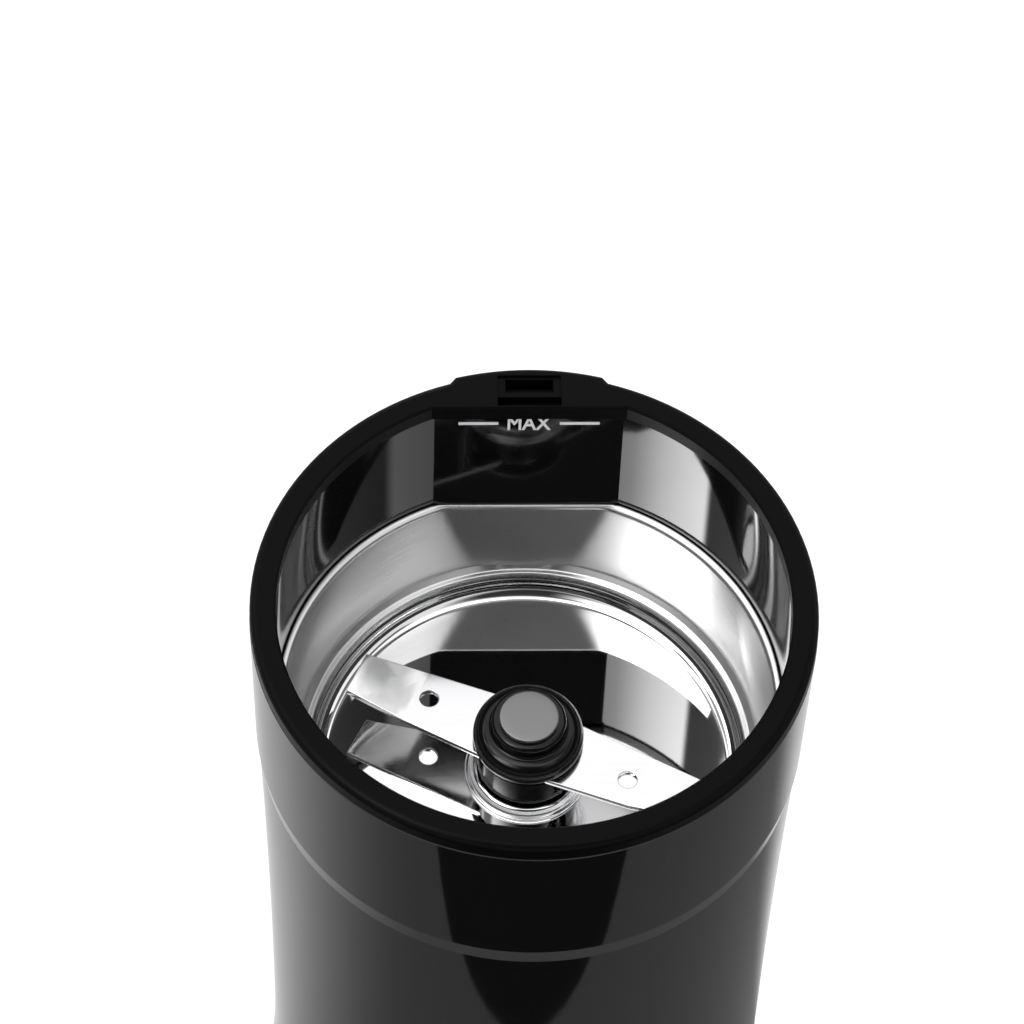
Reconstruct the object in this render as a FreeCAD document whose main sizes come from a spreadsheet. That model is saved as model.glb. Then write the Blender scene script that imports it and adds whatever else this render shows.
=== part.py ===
import FreeCAD, Part
import math
import os
from types import SimpleNamespace

import Sketcher

# Electric spice grinder: a black turned body with an open hopper, a steel bowl and a two-wing blade.
# Millimetres. +Z is up, the feet stand on Z = 0, and the interlock tab is at the back, towards +Y.

SIZES = {
    # Rim ring
    "overall_height": 165.0,
    "rim_radius": 45.0,
    "rim_width": 4.2,
    "rim_thickness": 3.0,
    "rim_round": 1.2,
    "rim_inner_round": 0.4,
    "rim_overhang": 0.5,
    "tab_depth": 0.9,
    "tab_half_width": 12.0,
    "tab_flank": 2.2,
    "press_slot_width": 7.8,
    "press_slot_depth": 2.6,
    "press_slot_inset": 2.6,
    "hook_slot_width": 10.4,
    "hook_slot_depth": 2.0,
    "hook_slot_sink": 2.2,
    "hook_slot_wall": 0.6,
    "recess_margin": 0.5,
    "recess_sink": 0.5,
    # Hopper sleeve
    "hopper_step": 0.3,
    "hopper_wall": 1.6,
    "flat_inset": 6.9,
    "ledge_width": 0.6,
    "ledge_wall": 1.0,
    "sleeve_floor": 2.5,
    "sleeve_step_drop": 35.0,
    # Outer shells
    "collar_step": 0.05,
    "collar_taper": 0.45,
    "shell_wall": 2.0,
    "crease_drop": 32.8,
    "crease_height": 3.8,
    "crease_step": 0.45,
    "seam_chamfer": 0.3,
    "spigot_height": 1.3,
    "waist_inset": 2.1,
    "waist_height": 40.0,
    "base_flare": 0.2,
    "base_round": 1.5,
    "tab_runout": 14.0,
    # Grinding bowl
    "bowl_edge_drop": 28.3,
    "bowl_depth": 22.4,
    "bowl_sheet": 0.6,
    "bowl_lip_width": 1.3,
    "bowl_taper": 1.6,
    "bowl_bead_drop": 18.2,
    "bowl_bead_step": 1.0,
    "bowl_bead_width": 1.0,
    "bowl_corner": 3.0,
    "gasket_radius": 20.0,
    "gasket_thickness": 1.5,
    # Boss in the bowl
    "boss_radius": 9.6,
    "boss_flange_radius": 10.3,
    "boss_flange_height": 0.7,
    "boss_height": 2.2,
    "boss_round": 0.6,
    "boss_bore_radius": 6.5,
    "boss_spigot_wall": 1.0,
    "boss_spigot_length": 6.0,
    "seal_height": 4.0,
    # Blade and hub
    "blade_turn": -26.0,
    "blade_height": 9.8,
    "blade_thickness": 1.2,
    "blade_clearance": 7.3,
    "blade_root_distance": 8.0,
    "blade_shoulder_distance": 20.0,
    "blade_root_half_width": 6.5,
    "blade_rear_width": 4.85,
    "blade_front_width": 2.7,
    "blade_tip_lift": 0.6,
    "blade_edge_lift": 0.6,
    "blade_hole_radius": 1.55,
    "blade_hole_distance": 18.0,
    "blade_disc_radius": 8.2,
    "collar_radius": 8.4,
    "collar_length": 5.5,
    "cap_radius": 9.1,
    "cap_height": 3.9,
    "cap_round": 1.6,
    "neck_radius": 6.2,
    "neck_height": 2.4,
    "hub_disc_radius": 4.9,
    "hub_disc_height": 0.8,
    # Motor
    "shaft_radius": 3.0,
    "shaft_tail": 6.0,
    "core_radius": 14.0,
    "winding_gap": 3.0,
    "winding_clearance": 1.0,
    "core_slot_count": 12,
    "core_slot_width": 2.4,
    "core_slot_depth": 6.0,
    "winding_radius": 12.6,
    "winding_overhang": 6.0,
    "winding_hub_radius": 5.0,
    "air_gap": 0.5,
    "stator_length": 58.0,
    "stator_width": 48.0,
    "stator_corner": 8.0,
    "pole_width": 16.0,
    "yoke_width": 7.0,
    "coil_thickness": 3.6,
    "coil_width": 4.6,
    "commutator_radius": 8.0,
    "commutator_height": 12.0,
    "commutator_gap": 6.5,
    "riser_radius": 10.0,
    "riser_height": 1.5,
    "fan_clearance": 0.9,
    "fan_gap": 3.0,
    "fan_height": 8.0,
    "fan_disc": 1.5,
    "fan_hub_radius": 6.0,
    "fan_blade_count": 9,
    "fan_blade_thickness": 1.2,
    "bearing_radius": 7.0,
    "bearing_height": 7.0,
    "bracket_plate": 2.5,
    "bracket_clearance": 4.9,
    "bracket_post_radius": 3.6,
    "bracket_cup_wall": 1.8,
    "lower_bracket_height": 26.0,
    "window_width": 20.0,
    "motor_screw_radius": 1.5,
    "motor_screw_x": 24.0,
    "motor_screw_y": 18.5,
    "screw_head_radius": 2.8,
    "screw_head_height": 1.8,
    "mount_radius": 4.0,
    "mount_height": 9.2,
    "mount_inset": 5.0,
    "brush_width": 5.0,
    "brush_height": 6.0,
    "brush_length": 9.0,
    "brush_spring_length": 8.0,
    "brush_spring_radius": 1.8,
    "brush_wire_radius": 0.3,
    "brush_spring_turns": 2,
    "holder_wall": 0.8,
    # Interlock
    "plunger_sink": 2.2,
    "plunger_thickness": 1.5,
    "plunger_jog_drop": 29.0,
    "plunger_jog_height": 2.0,
    "plunger_leg_thickness": 1.0,
    "plunger_leg_width": 2.4,
    "spring_radius": 1.05,
    "spring_wire_radius": 0.22,
    "spring_length": 17.8,
    "spring_turns": 4,
    "spring_seat_height": 2.0,
    "switch_length": 12.8,
    "switch_width": 5.8,
    "switch_height": 6.5,
    "switch_drop": 16.7,
    "shelf_thickness": 2.5,
    "hanger_width": 1.4,
    "hanger_depth": 3.3,
    "lever_thickness": 0.4,
    "lever_length": 13.0,
    "lever_width": 3.6,
    "lever_rise": 17.5,
    "pivot_height": 1.6,
    "pivot_radius": 0.5,
    "pivot_inset": 1.2,
    "ear_thickness": 0.8,
    "button_radius": 0.8,
    "button_offset": 4.0,
    "button_height": 2.2,
    "button_root": 1.0,
    "button_travel": 0.95,
    # Base
    "foot_height": 3.0,
    "foot_radius": 5.5,
    "foot_inset": 12.2,
    "base_plate_thickness": 2.5,
    "post_inset": 5.9,
    "base_boss_radius": 3.4,
    "base_boss_length": 18.0,
    "base_screw_radius": 1.4,
    "base_screw_length": 12.0,
    "vent_inner_distance": 12.0,
    "vent_inset": 7.0,
    "vent_width": 2.2,
    "vent_count": 12,
    "inlet_height": 22.0,
    "inlet_step": 0.25,
    "inlet_bore_radius": 3.3,
    "inlet_wall": 1.6,
    "inlet_flange": 1.8,
    "inlet_flange_thickness": 1.4,
    "terminal_length": 16.0,
    "terminal_width": 8.0,
    "terminal_height": 6.0,
    # Fits
    "running_gap": 0.05,
    "moving_gap": 0.3,
    "seat_gap": 0.1,
}


class Size:
    """A length together with the sheet expression that drives it."""

    def __init__(self, value, formula):
        self.value = value
        self.formula = formula

    def _join(self, sign, other, value):
        return Size(value, "(%s %s %s)" % (self.formula, sign, as_size(other).formula))

    def __add__(self, other):
        return self._join("+", other, self.value + as_size(other).value)

    def __sub__(self, other):
        return self._join("-", other, self.value - as_size(other).value)

    def __mul__(self, other):
        return self._join("*", other, self.value * as_size(other).value)

    def __truediv__(self, other):
        return self._join("/", other, self.value / as_size(other).value)

    def __neg__(self):
        return Size(-self.value, "(0 - %s)" % self.formula)


def as_size(number):
    """A plain number is its own expression."""
    return number if isinstance(number, Size) else Size(number, repr(number))


def root(area):
    """The square root of a size."""
    return Size(math.sqrt(area.value), "sqrt(%s)" % area.formula)


def sine(angle):
    """The sine of an angle in degrees."""
    return Size(math.sin(math.radians(angle.value)), "sin(%s * 1 deg)" % angle.formula)


doc = FreeCAD.newDocument("spice_grinder")
sheet = doc.addObject("Spreadsheet::Sheet", "sizes")
for row, (alias, number) in enumerate(SIZES.items(), start=1):
    sheet.set("A%d" % row, alias)
    sheet.set("B%d" % row, str(number))
    sheet.setAlias("B%d" % row, alias)
doc.recompute()
d = SimpleNamespace(**{alias: Size(number, "sizes." + alias) for alias, number in SIZES.items()})

nodes = []


def part_body(label):
    """An empty body; a label makes it a sub-part."""
    return doc.addObject("PartDesign::Body", label)


def keep(thing, label):
    """Mark an object as a finished sub-part under its node name."""
    thing.Label = label
    nodes.append(thing)
    return thing


def bind(thing, path, size):
    """Tie one property to the sheet."""
    thing.setExpression(path, as_size(size).formula)


def new_sketch(body, name, role="XY_Plane", lift=None):
    """A sketch on one of the body's own origin planes, raised along its normal by lift."""
    sketch = body.newObject("Sketcher::SketchObject", name)
    plane = next(item for item in body.Origin.OriginFeatures if item.Role == role)
    sketch.AttachmentSupport = [(plane, "")]
    sketch.MapMode = "FlatFace"
    if lift is not None:
        bind(sketch, "AttachmentOffset.Base.z", lift)
    return sketch


def pin_point(sketch, geometry, end, x, y):
    """Hold one vertex at bound coordinates."""
    for kind, axis, size in (("DistanceX", -2, as_size(x)), ("DistanceY", -1, as_size(y))):
        if abs(size.value) < 1e-9:
            sketch.addConstraint(Sketcher.Constraint("PointOnObject", geometry, end, axis))
            continue
        ends = (-1, 1, geometry, end) if size.value > 0 else (geometry, end, -1, 1)
        size = size if size.value > 0 else -size
        index = sketch.addConstraint(Sketcher.Constraint(kind, *ends, size.value))
        bind(sketch, "Constraints[%d]" % index, size)


def outline(sketch, points):
    """A closed outline of straight edges; a third entry makes the edge that leaves a point an arc.

    That entry is the height of the arc's centre, which lies where both ends are equally far from it.
    """
    ends = []
    count = len(points)
    spots = [(as_size(p[0]).value, as_size(p[1]).value) for p in points]
    for index, point in enumerate(points):
        (ax, ay), (bx, by) = spots[index], spots[(index + 1) % count]
        if len(point) == 2:
            line = Part.LineSegment(FreeCAD.Vector(ax, ay, 0), FreeCAD.Vector(bx, by, 0))
            ends.append((sketch.addGeometry(line, False), 1, 2))
            continue
        cy = as_size(point[2]).value
        cx = (bx * bx - ax * ax + (by - cy) ** 2 - (ay - cy) ** 2) / (2 * (bx - ax))
        start = math.atan2(ay - cy, ax - cx)
        stop = math.atan2(by - cy, bx - cx)
        forward = (stop - start) % (2 * math.pi) < math.pi
        if not forward:
            start, stop = stop, start
        circle = Part.Circle(
            FreeCAD.Vector(cx, cy, 0), FreeCAD.Vector(0, 0, 1), math.hypot(ax - cx, ay - cy)
        )
        number = sketch.addGeometry(Part.ArcOfCircle(circle, start, stop), False)
        ends.append((number, 1, 2) if forward else (number, 2, 1))
    for index in range(count):
        here, after = ends[index], ends[(index + 1) % count]
        sketch.addConstraint(Sketcher.Constraint("Coincident", here[0], here[2], after[0], after[1]))
    for index, point in enumerate(points):
        pin_point(sketch, ends[index][0], ends[index][1], point[0], point[1])
        if len(point) > 2:
            height = as_size(point[2])
            spot = sketch.addConstraint(
                Sketcher.Constraint("DistanceY", -1, 1, ends[index][0], 3, height.value)
            )
            bind(sketch, "Constraints[%d]" % spot, height)
    return sketch


def ring_outline(sketch, radius, x=0, y=0):
    """One full circle at bound coordinates."""
    place = FreeCAD.Vector(as_size(x).value, as_size(y).value, 0)
    radius = as_size(radius)
    number = sketch.addGeometry(Part.Circle(place, FreeCAD.Vector(0, 0, 1), radius.value), False)
    index = sketch.addConstraint(Sketcher.Constraint("Radius", number, radius.value))
    bind(sketch, "Constraints[%d]" % index, radius)
    pin_point(sketch, number, 3, x, y)
    return sketch


def flatted_outline(sketch, radius, flat):
    """A circle with its back cut straight at the flat's distance."""
    angle = math.asin(flat.value / radius.value)
    circle = Part.Circle(FreeCAD.Vector(0, 0, 0), FreeCAD.Vector(0, 0, 1), radius.value)
    sketch.addGeometry(Part.ArcOfCircle(circle, math.pi - angle, 2 * math.pi + angle), False)
    half = math.sqrt(radius.value**2 - flat.value**2)
    left, right = FreeCAD.Vector(-half, flat.value, 0), FreeCAD.Vector(half, flat.value, 0)
    sketch.addGeometry(Part.LineSegment(right, left), False)
    sketch.addConstraint(Sketcher.Constraint("Coincident", 0, 3, -1, 1))
    sketch.addConstraint(Sketcher.Constraint("Coincident", 0, 2, 1, 1))
    sketch.addConstraint(Sketcher.Constraint("Coincident", 1, 2, 0, 1))
    sketch.addConstraint(Sketcher.Constraint("Horizontal", 1))
    index = sketch.addConstraint(Sketcher.Constraint("Radius", 0, radius.value))
    bind(sketch, "Constraints[%d]" % index, radius)
    index = sketch.addConstraint(Sketcher.Constraint("DistanceY", -1, 1, 1, 1, flat.value))
    bind(sketch, "Constraints[%d]" % index, flat)
    return sketch


def rectangle(sketch, x0, x1, y0, y1):
    """A rectangle between bound sides."""
    return outline(sketch, [(x0, y0), (x1, y0), (x1, y1), (x0, y1)])


def volume_of(body):
    """The body's volume so far."""
    return 0.0 if body.Tip is None else body.Tip.Shape.Volume


def add_pad(body, sketch, length, both_ways=False, downwards=False):
    """Extrude a sketch along its normal; it has to add material."""
    before = volume_of(body)
    feature = body.newObject("PartDesign::Pad", sketch.Name + "_pad")
    feature.Profile = sketch
    bind(feature, "Length", length)
    feature.Midplane = both_ways
    feature.Reversed = downwards
    doc.recompute()
    if feature.Shape.Volume <= before:
        raise ValueError("%s adds nothing" % feature.Name)
    return feature


def cut_pocket(body, sketch, length=None, both_ways=False, upwards=False):
    """A pocket that has to take material away; with no length it goes right through."""
    before = volume_of(body)
    feature = body.newObject("PartDesign::Pocket", sketch.Name + "_pocket")
    feature.Profile = sketch
    feature.Midplane = both_ways
    feature.Reversed = upwards
    if length is None:
        feature.Type = "ThroughAll"
    else:
        bind(feature, "Length", length)
    doc.recompute()
    if feature.Shape.Volume >= before:
        raise ValueError("%s cuts nothing" % feature.Name)
    return feature


def turn(body, sketch):
    """Revolve a section about Z."""
    feature = body.newObject("PartDesign::Revolution", sketch.Name + "_turn")
    feature.Profile = sketch
    feature.ReferenceAxis = (sketch, ["V_Axis"])
    feature.Angle = 360
    doc.recompute()
    return feature


def turned(label, points, name="section"):
    """A sub-part that is one turned section, drawn as radius and height."""
    body = part_body(label)
    turn(body, outline(new_sketch(body, label + "_" + name, "XZ_Plane"), points))
    return body


def tube_points(inner, outer, bottom, top):
    """The section of a plain ring."""
    return [(inner, bottom), (outer, bottom), (outer, top), (inner, top)]


def patterned(body, features, count):
    """Repeat features evenly about Z."""
    pattern = body.newObject("PartDesign::PolarPattern", features[0].Name + "_round")
    pattern.Originals = features
    axis = next(item for item in body.Origin.OriginFeatures if item.Role == "Z_Axis")
    pattern.Axis = (axis, [""])
    pattern.Angle = 360
    bind(pattern, "Occurrences", count)
    body.Tip = pattern
    doc.recompute()
    return pattern


def mirrored(body, features, role):
    """Mirror features in one of the body's origin planes."""
    mirror = body.newObject("PartDesign::Mirrored", features[0].Name + "_mirror")
    mirror.Originals = features
    plane = next(item for item in body.Origin.OriginFeatures if item.Role == role)
    mirror.MirrorPlane = (plane, [""])
    body.Tip = mirror
    doc.recompute()
    return mirror


def corner_rings(sketch, radius, x, y):
    """Four like circles, one in each quarter of the plan."""
    for side_x in (-1, 1):
        for side_y in (-1, 1):
            ring_outline(sketch, radius, x * side_x, y * side_y)
    return sketch


def rounded(body, radius, wanted, kind="PartDesign::Fillet"):
    """Fillet or chamfer the edges of the tip that the test picks out."""
    base = body.Tip
    names = ["Edge%d" % (i + 1) for i, edge in enumerate(base.Shape.Edges) if wanted(edge)]
    if not names:
        raise ValueError("no edge to round on %s" % body.Label)
    feature = body.newObject(kind, base.Name + "_round")
    feature.Base = (base, names)
    bind(feature, "Radius" if kind.endswith("Fillet") else "Size", radius)
    doc.recompute()
    return feature


def at_height(edge, height):
    """Whether an edge lies wholly at one height."""
    box = edge.BoundBox
    return abs(box.ZMin - height.value) < 1e-4 and abs(box.ZMax - height.value) < 1e-4


# Radii, measured in from the rim's, that several pieces share
rim_opening_radius = d.rim_radius - d.rim_width
flat_distance = d.rim_radius - d.flat_inset
press_slot_distance = d.rim_radius - d.press_slot_inset
hopper_radius = rim_opening_radius + d.hopper_step
collar_top_radius = d.rim_radius + d.collar_step
collar_bottom_radius = collar_top_radius - d.collar_taper
waist_radius = d.rim_radius - d.waist_inset
base_radius = d.rim_radius + d.base_flare
bowl_mouth_radius = hopper_radius - d.bowl_lip_width
bowl_foot_radius = bowl_mouth_radius - d.bowl_taper
blade_length = bowl_foot_radius - d.blade_clearance
bracket_radius = waist_radius - d.shell_wall - d.bracket_clearance
mount_circle = bracket_radius - d.mount_inset
boss_circle = base_radius - d.post_inset
foot_circle = base_radius - d.foot_inset
vent_outer = foot_circle - d.vent_inset

# Heights that several pieces share
rim_top = d.overall_height
rim_bottom = rim_top - d.rim_thickness
ledge_height = rim_top - d.bowl_edge_drop - d.bowl_sheet
bowl_edge = rim_top - d.bowl_edge_drop
bowl_bottom = bowl_edge - d.bowl_depth
floor_top = bowl_bottom - d.bowl_sheet - d.gasket_thickness
floor_bottom = floor_top - d.sleeve_floor
crease_top = rim_top - d.crease_drop
crease_bottom = crease_top - d.crease_height
sleeve_step = rim_top - d.sleeve_step_drop
slot_near = press_slot_distance - d.press_slot_depth / 2
slot_far = press_slot_distance + d.press_slot_depth / 2
blade_top = bowl_bottom + d.blade_height
blade_bottom = blade_top - d.blade_thickness
upper_plate = floor_bottom - d.mount_height - d.bracket_plate
lower_plate = d.lower_bracket_height
shaft_bottom = lower_plate - d.shaft_tail
fan_bottom = upper_plate - d.fan_gap - d.fan_height
commutator_bottom = lower_plate + d.bracket_plate + d.commutator_gap
commutator_top = commutator_bottom + d.commutator_height
core_bottom = commutator_top + d.winding_gap + d.winding_overhang
core_height = fan_bottom - d.winding_clearance - d.winding_overhang - core_bottom
switch_top = floor_bottom - d.switch_drop
switch_bottom = switch_top - d.switch_height
switch_outer = flat_distance + d.hopper_wall
switch_inner = switch_outer - d.switch_length
fan_radius = switch_inner - d.fan_clearance


# Rim ring: matte ring that closes the top, with the tab and the two lid slots at the back
rim = part_body("rim_ring")
add_pad(rim, ring_outline(new_sketch(rim, "rim_plan", lift=rim_bottom), d.rim_radius), d.rim_thickness)


def tab_outline(sketch, reach):
    """The tab's plan: a flank on each side and an arc that follows the rim."""
    tip = d.rim_radius + reach
    tip_y = root(tip * tip - d.tab_half_width * d.tab_half_width)
    foot = d.tab_half_width + d.tab_flank
    foot_y = root(d.rim_radius * d.rim_radius - foot * foot) - d.rim_round
    corners = [(-foot, foot_y), (foot, foot_y), (d.tab_half_width, tip_y, 0), (-d.tab_half_width, tip_y)]
    return outline(sketch, corners)


add_pad(rim, tab_outline(new_sketch(rim, "tab_plan", lift=rim_bottom), d.tab_depth), d.rim_thickness)
rounded(rim, d.rim_round, lambda edge: at_height(edge, rim_top))
rim_flat = flat_distance - d.rim_overhang
cut_pocket(rim, flatted_outline(new_sketch(rim, "rim_opening", lift=rim_top), rim_opening_radius, rim_flat))
rounded(
    rim,
    d.rim_inner_round,
    lambda edge: at_height(edge, rim_top) and edge.BoundBox.XMax < rim_opening_radius.value + 1,
    "PartDesign::Chamfer",
)
recess_half = d.hook_slot_width / 2
rectangle_plan = new_sketch(rim, "recess_plan", lift=rim_top)
rectangle(
    rectangle_plan, -recess_half, recess_half, rim_flat + d.hook_slot_wall, slot_far + d.recess_margin
)
cut_pocket(rim, rectangle_plan, d.recess_sink)
hook_near = rim_flat + d.hook_slot_wall
hook_plan = new_sketch(rim, "hook_slot_plan", lift=rim_top)
rectangle(hook_plan, -recess_half, recess_half, hook_near, hook_near + d.hook_slot_depth)
cut_pocket(rim, hook_plan, d.hook_slot_sink)
press_plan = new_sketch(rim, "press_slot_plan", lift=rim_top)
rectangle(press_plan, -d.press_slot_width / 2, d.press_slot_width / 2, slot_near, slot_far)
cut_pocket(rim, press_plan)
keep(rim, "rim_ring")

# Collar shell: the glossy upper wall, which ends in a bevel that steps in to the motor housing
collar_inner = collar_top_radius - d.shell_wall
collar_section = [
    (collar_inner, crease_bottom),
    (collar_bottom_radius - d.crease_step, crease_bottom),
    (collar_bottom_radius, crease_top),
    (collar_top_radius, rim_bottom - d.seam_chamfer),
    (collar_top_radius - d.seam_chamfer, rim_bottom),
    (collar_inner, rim_bottom),
]
collar = turned("collar_shell", collar_section)
tab_loft = collar.newObject("PartDesign::AdditiveLoft", "tab_runout")
tab_loft.Profile = tab_outline(new_sketch(collar, "tab_top", lift=rim_bottom), d.tab_depth)
tab_loft.Sections = [
    tab_outline(new_sketch(collar, "tab_foot", lift=rim_bottom - d.tab_runout), -d.rim_round)
]
tab_loft.Ruled = True
doc.recompute()
channel = new_sketch(collar, "channel_plan", lift=rim_bottom)
channel_half = d.press_slot_width / 2 + d.moving_gap
rectangle(channel, -channel_half, channel_half, flat_distance, slot_far)
cut_pocket(collar, channel)
keep(collar, "collar_shell")

# Motor housing: the lower shell, waisted and flared towards the base
housing_inner_top = collar_bottom_radius - d.crease_step - d.shell_wall
waist_inner = waist_radius - d.shell_wall
base_inner = base_radius - d.shell_wall
spigot_radius = collar_inner - d.seat_gap
housing_section = [
    (base_inner, d.foot_height),
    (base_radius - d.base_round, d.foot_height),
    (base_radius, d.foot_height + d.base_round, d.waist_height),
    (waist_radius, d.waist_height, d.waist_height),
    (collar_bottom_radius - d.crease_step, crease_bottom),
    (spigot_radius, crease_bottom),
    (spigot_radius, crease_bottom + d.spigot_height),
    (housing_inner_top, crease_bottom + d.spigot_height),
    (housing_inner_top, crease_bottom),
    (waist_inner, d.waist_height),
]
housing = turned("motor_housing", housing_section)
boss_base = d.foot_height + d.base_plate_thickness
boss_x = boss_circle / math.sqrt(2)
post_plan = ring_outline(
    new_sketch(housing, "post_plan", lift=boss_base), d.base_boss_radius, boss_x, boss_x
)
post = add_pad(housing, post_plan, d.base_boss_length)
patterned(housing, [post], 4)
pilot = cut_pocket(
    housing,
    ring_outline(new_sketch(housing, "pilot_plan", lift=boss_base), d.base_screw_radius, boss_x, boss_x),
    d.base_screw_length,
    upwards=True,
)
patterned(housing, [pilot], 4)
inlet_plan = ring_outline(
    new_sketch(housing, "inlet_plan", "XZ_Plane"), d.inlet_bore_radius + d.inlet_wall, 0, d.inlet_height
)
cut_pocket(housing, inlet_plan, base_radius * 2)
keep(housing, "motor_housing")

# Hopper sleeve: the glossy inner wall with its flat, the ledge for the bowl and the floor over the motor
sleeve = part_body("hopper_sleeve")
sleeve_outer = hopper_radius + d.hopper_wall
sleeve_flat = flat_distance + d.hopper_wall
lower_radius = hopper_radius - d.ledge_width
add_pad(
    sleeve,
    flatted_outline(new_sketch(sleeve, "upper_plan", lift=sleeve_step), sleeve_outer, sleeve_flat),
    rim_bottom - sleeve_step,
)
add_pad(
    sleeve,
    flatted_outline(
        new_sketch(sleeve, "lower_plan", lift=floor_bottom), lower_radius + d.ledge_wall, sleeve_flat
    ),
    sleeve_step - floor_bottom,
)
seat_plan = new_sketch(sleeve, "spring_seat_plan", lift=sleeve_step)
seat_reach = collar_top_radius - d.shell_wall - d.moving_gap
leg_half = d.plunger_leg_width / 2
rectangle(
    seat_plan, leg_half + d.moving_gap, channel_half - d.moving_gap, flat_distance + d.seat_gap, seat_reach
)
add_pad(sleeve, seat_plan, d.spring_seat_height)
cut_pocket(
    sleeve,
    flatted_outline(new_sketch(sleeve, "hopper_plan", lift=rim_bottom), hopper_radius, flat_distance),
    rim_bottom - ledge_height,
)
cut_pocket(
    sleeve,
    flatted_outline(new_sketch(sleeve, "bowl_well_plan", lift=ledge_height), lower_radius, flat_distance),
    ledge_height - floor_top,
)
boss_spigot = d.boss_bore_radius + d.boss_spigot_wall
cut_pocket(sleeve, ring_outline(new_sketch(sleeve, "boss_hole_plan", lift=floor_top), boss_spigot))
keep(sleeve, "hopper_sleeve")

# Grinding bowl: drawn steel bowl with a lip, a bead above the floor and a flat that follows the sleeve's
lip_radius = hopper_radius - d.seat_gap
bead_height = bowl_edge - d.bowl_bead_drop
bead_outer = bowl_foot_radius - d.bowl_bead_step
bead_inner = bead_outer - d.bowl_bead_width
corner_inner = bead_inner - d.bowl_corner
corner_top = bowl_bottom + d.bowl_corner
corner_share = 1 - math.sqrt(0.5)
corner_middle = (bead_inner - d.bowl_corner * corner_share, bowl_bottom + d.bowl_corner * corner_share)

blank = part_body("bowl_blank")
blank_section = [
    (boss_spigot, bowl_bottom - d.bowl_sheet),
    (corner_inner, bowl_bottom - d.bowl_sheet),
    (corner_middle[0] + d.bowl_sheet / 2, corner_middle[1] - d.bowl_sheet / 2),
    (bead_inner + d.bowl_sheet, corner_top),
    (bead_inner + d.bowl_sheet, bead_height - d.bowl_sheet),
    (bead_outer + d.bowl_sheet, bead_height - d.bowl_sheet),
    (bowl_foot_radius + d.bowl_sheet, bead_height + d.bowl_bead_step),
    (bowl_mouth_radius + d.bowl_sheet, ledge_height),
    (lip_radius, ledge_height),
    (lip_radius, bowl_edge),
    (boss_spigot, bowl_edge),
]
turn(blank, outline(new_sketch(blank, "blank_section", "XZ_Plane"), blank_section))
back_cut = new_sketch(blank, "blank_back_plan", lift=bowl_edge)
blank_flat = flat_distance - d.seat_gap
rectangle(back_cut, -hopper_radius, hopper_radius, blank_flat, hopper_radius + d.seat_gap)
cut_pocket(blank, back_cut)

cavity = part_body("bowl_cavity")
cavity_section = [
    (0, bowl_bottom),
    (corner_inner, bowl_bottom),
    corner_middle,
    (bead_inner, corner_top),
    (bead_inner, bead_height),
    (bead_outer, bead_height),
    (bowl_foot_radius, bead_height + d.bowl_bead_step),
    (bowl_mouth_radius, bowl_edge),
    (bowl_mouth_radius, rim_bottom),
    (0, rim_bottom),
]
turn(cavity, outline(new_sketch(cavity, "cavity_section", "XZ_Plane"), cavity_section))
cavity_back = new_sketch(cavity, "cavity_back_plan", lift=rim_bottom)
rectangle(cavity_back, -hopper_radius, hopper_radius, blank_flat - d.bowl_sheet, hopper_radius)
cut_pocket(cavity, cavity_back)

bowl = doc.addObject("Part::Cut", "grinding_bowl")
bowl.Base = blank
bowl.Tool = cavity
keep(bowl, "grinding_bowl")

gasket_points = tube_points(
    boss_spigot + d.moving_gap, d.gasket_radius, floor_top, floor_top + d.gasket_thickness
)
keep(turned("bowl_gasket", gasket_points), "bowl_gasket")

# Bowl boss: bright ring round the shaft, with a flange on the bowl's bottom and a spigot through the floor
boss_top = bowl_bottom + d.boss_height
boss_section = [
    (d.boss_bore_radius, floor_bottom - d.boss_spigot_length + d.sleeve_floor),
    (boss_spigot, floor_bottom - d.boss_spigot_length + d.sleeve_floor),
    (boss_spigot, bowl_bottom),
    (d.boss_flange_radius, bowl_bottom),
    (d.boss_flange_radius, bowl_bottom + d.boss_flange_height),
    (d.boss_radius, bowl_bottom + d.boss_flange_height),
    (d.boss_radius, boss_top - d.boss_round),
    (d.boss_radius - d.boss_round, boss_top),
    (d.boss_bore_radius, boss_top),
]
keep(turned("bowl_boss", boss_section), "bowl_boss")

seal_top = boss_top - d.boss_round
seal_points = tube_points(
    d.shaft_radius + d.running_gap, d.boss_bore_radius, seal_top - d.seal_height, seal_top
)
keep(turned("shaft_seal", seal_points), "shaft_seal")

# Blade: two-wing steel blade whose wings twist slightly and carry one hole each
blade = part_body("blade")
blade_hub = ring_outline(new_sketch(blade, "blade_disc_plan", lift=blade_bottom), d.blade_disc_radius)
add_pad(blade, blade_hub, d.blade_thickness)


def wing_section(name, distance, front, back, front_lift, back_lift):
    """One section of a wing, square to it, with its front and back edges lifted separately."""
    corners = [
        (front, blade_bottom + front_lift),
        (back, blade_bottom + back_lift),
        (back, blade_top + back_lift),
        (front, blade_top + front_lift),
    ]
    return outline(new_sketch(blade, name, "YZ_Plane", distance), corners)


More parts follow.
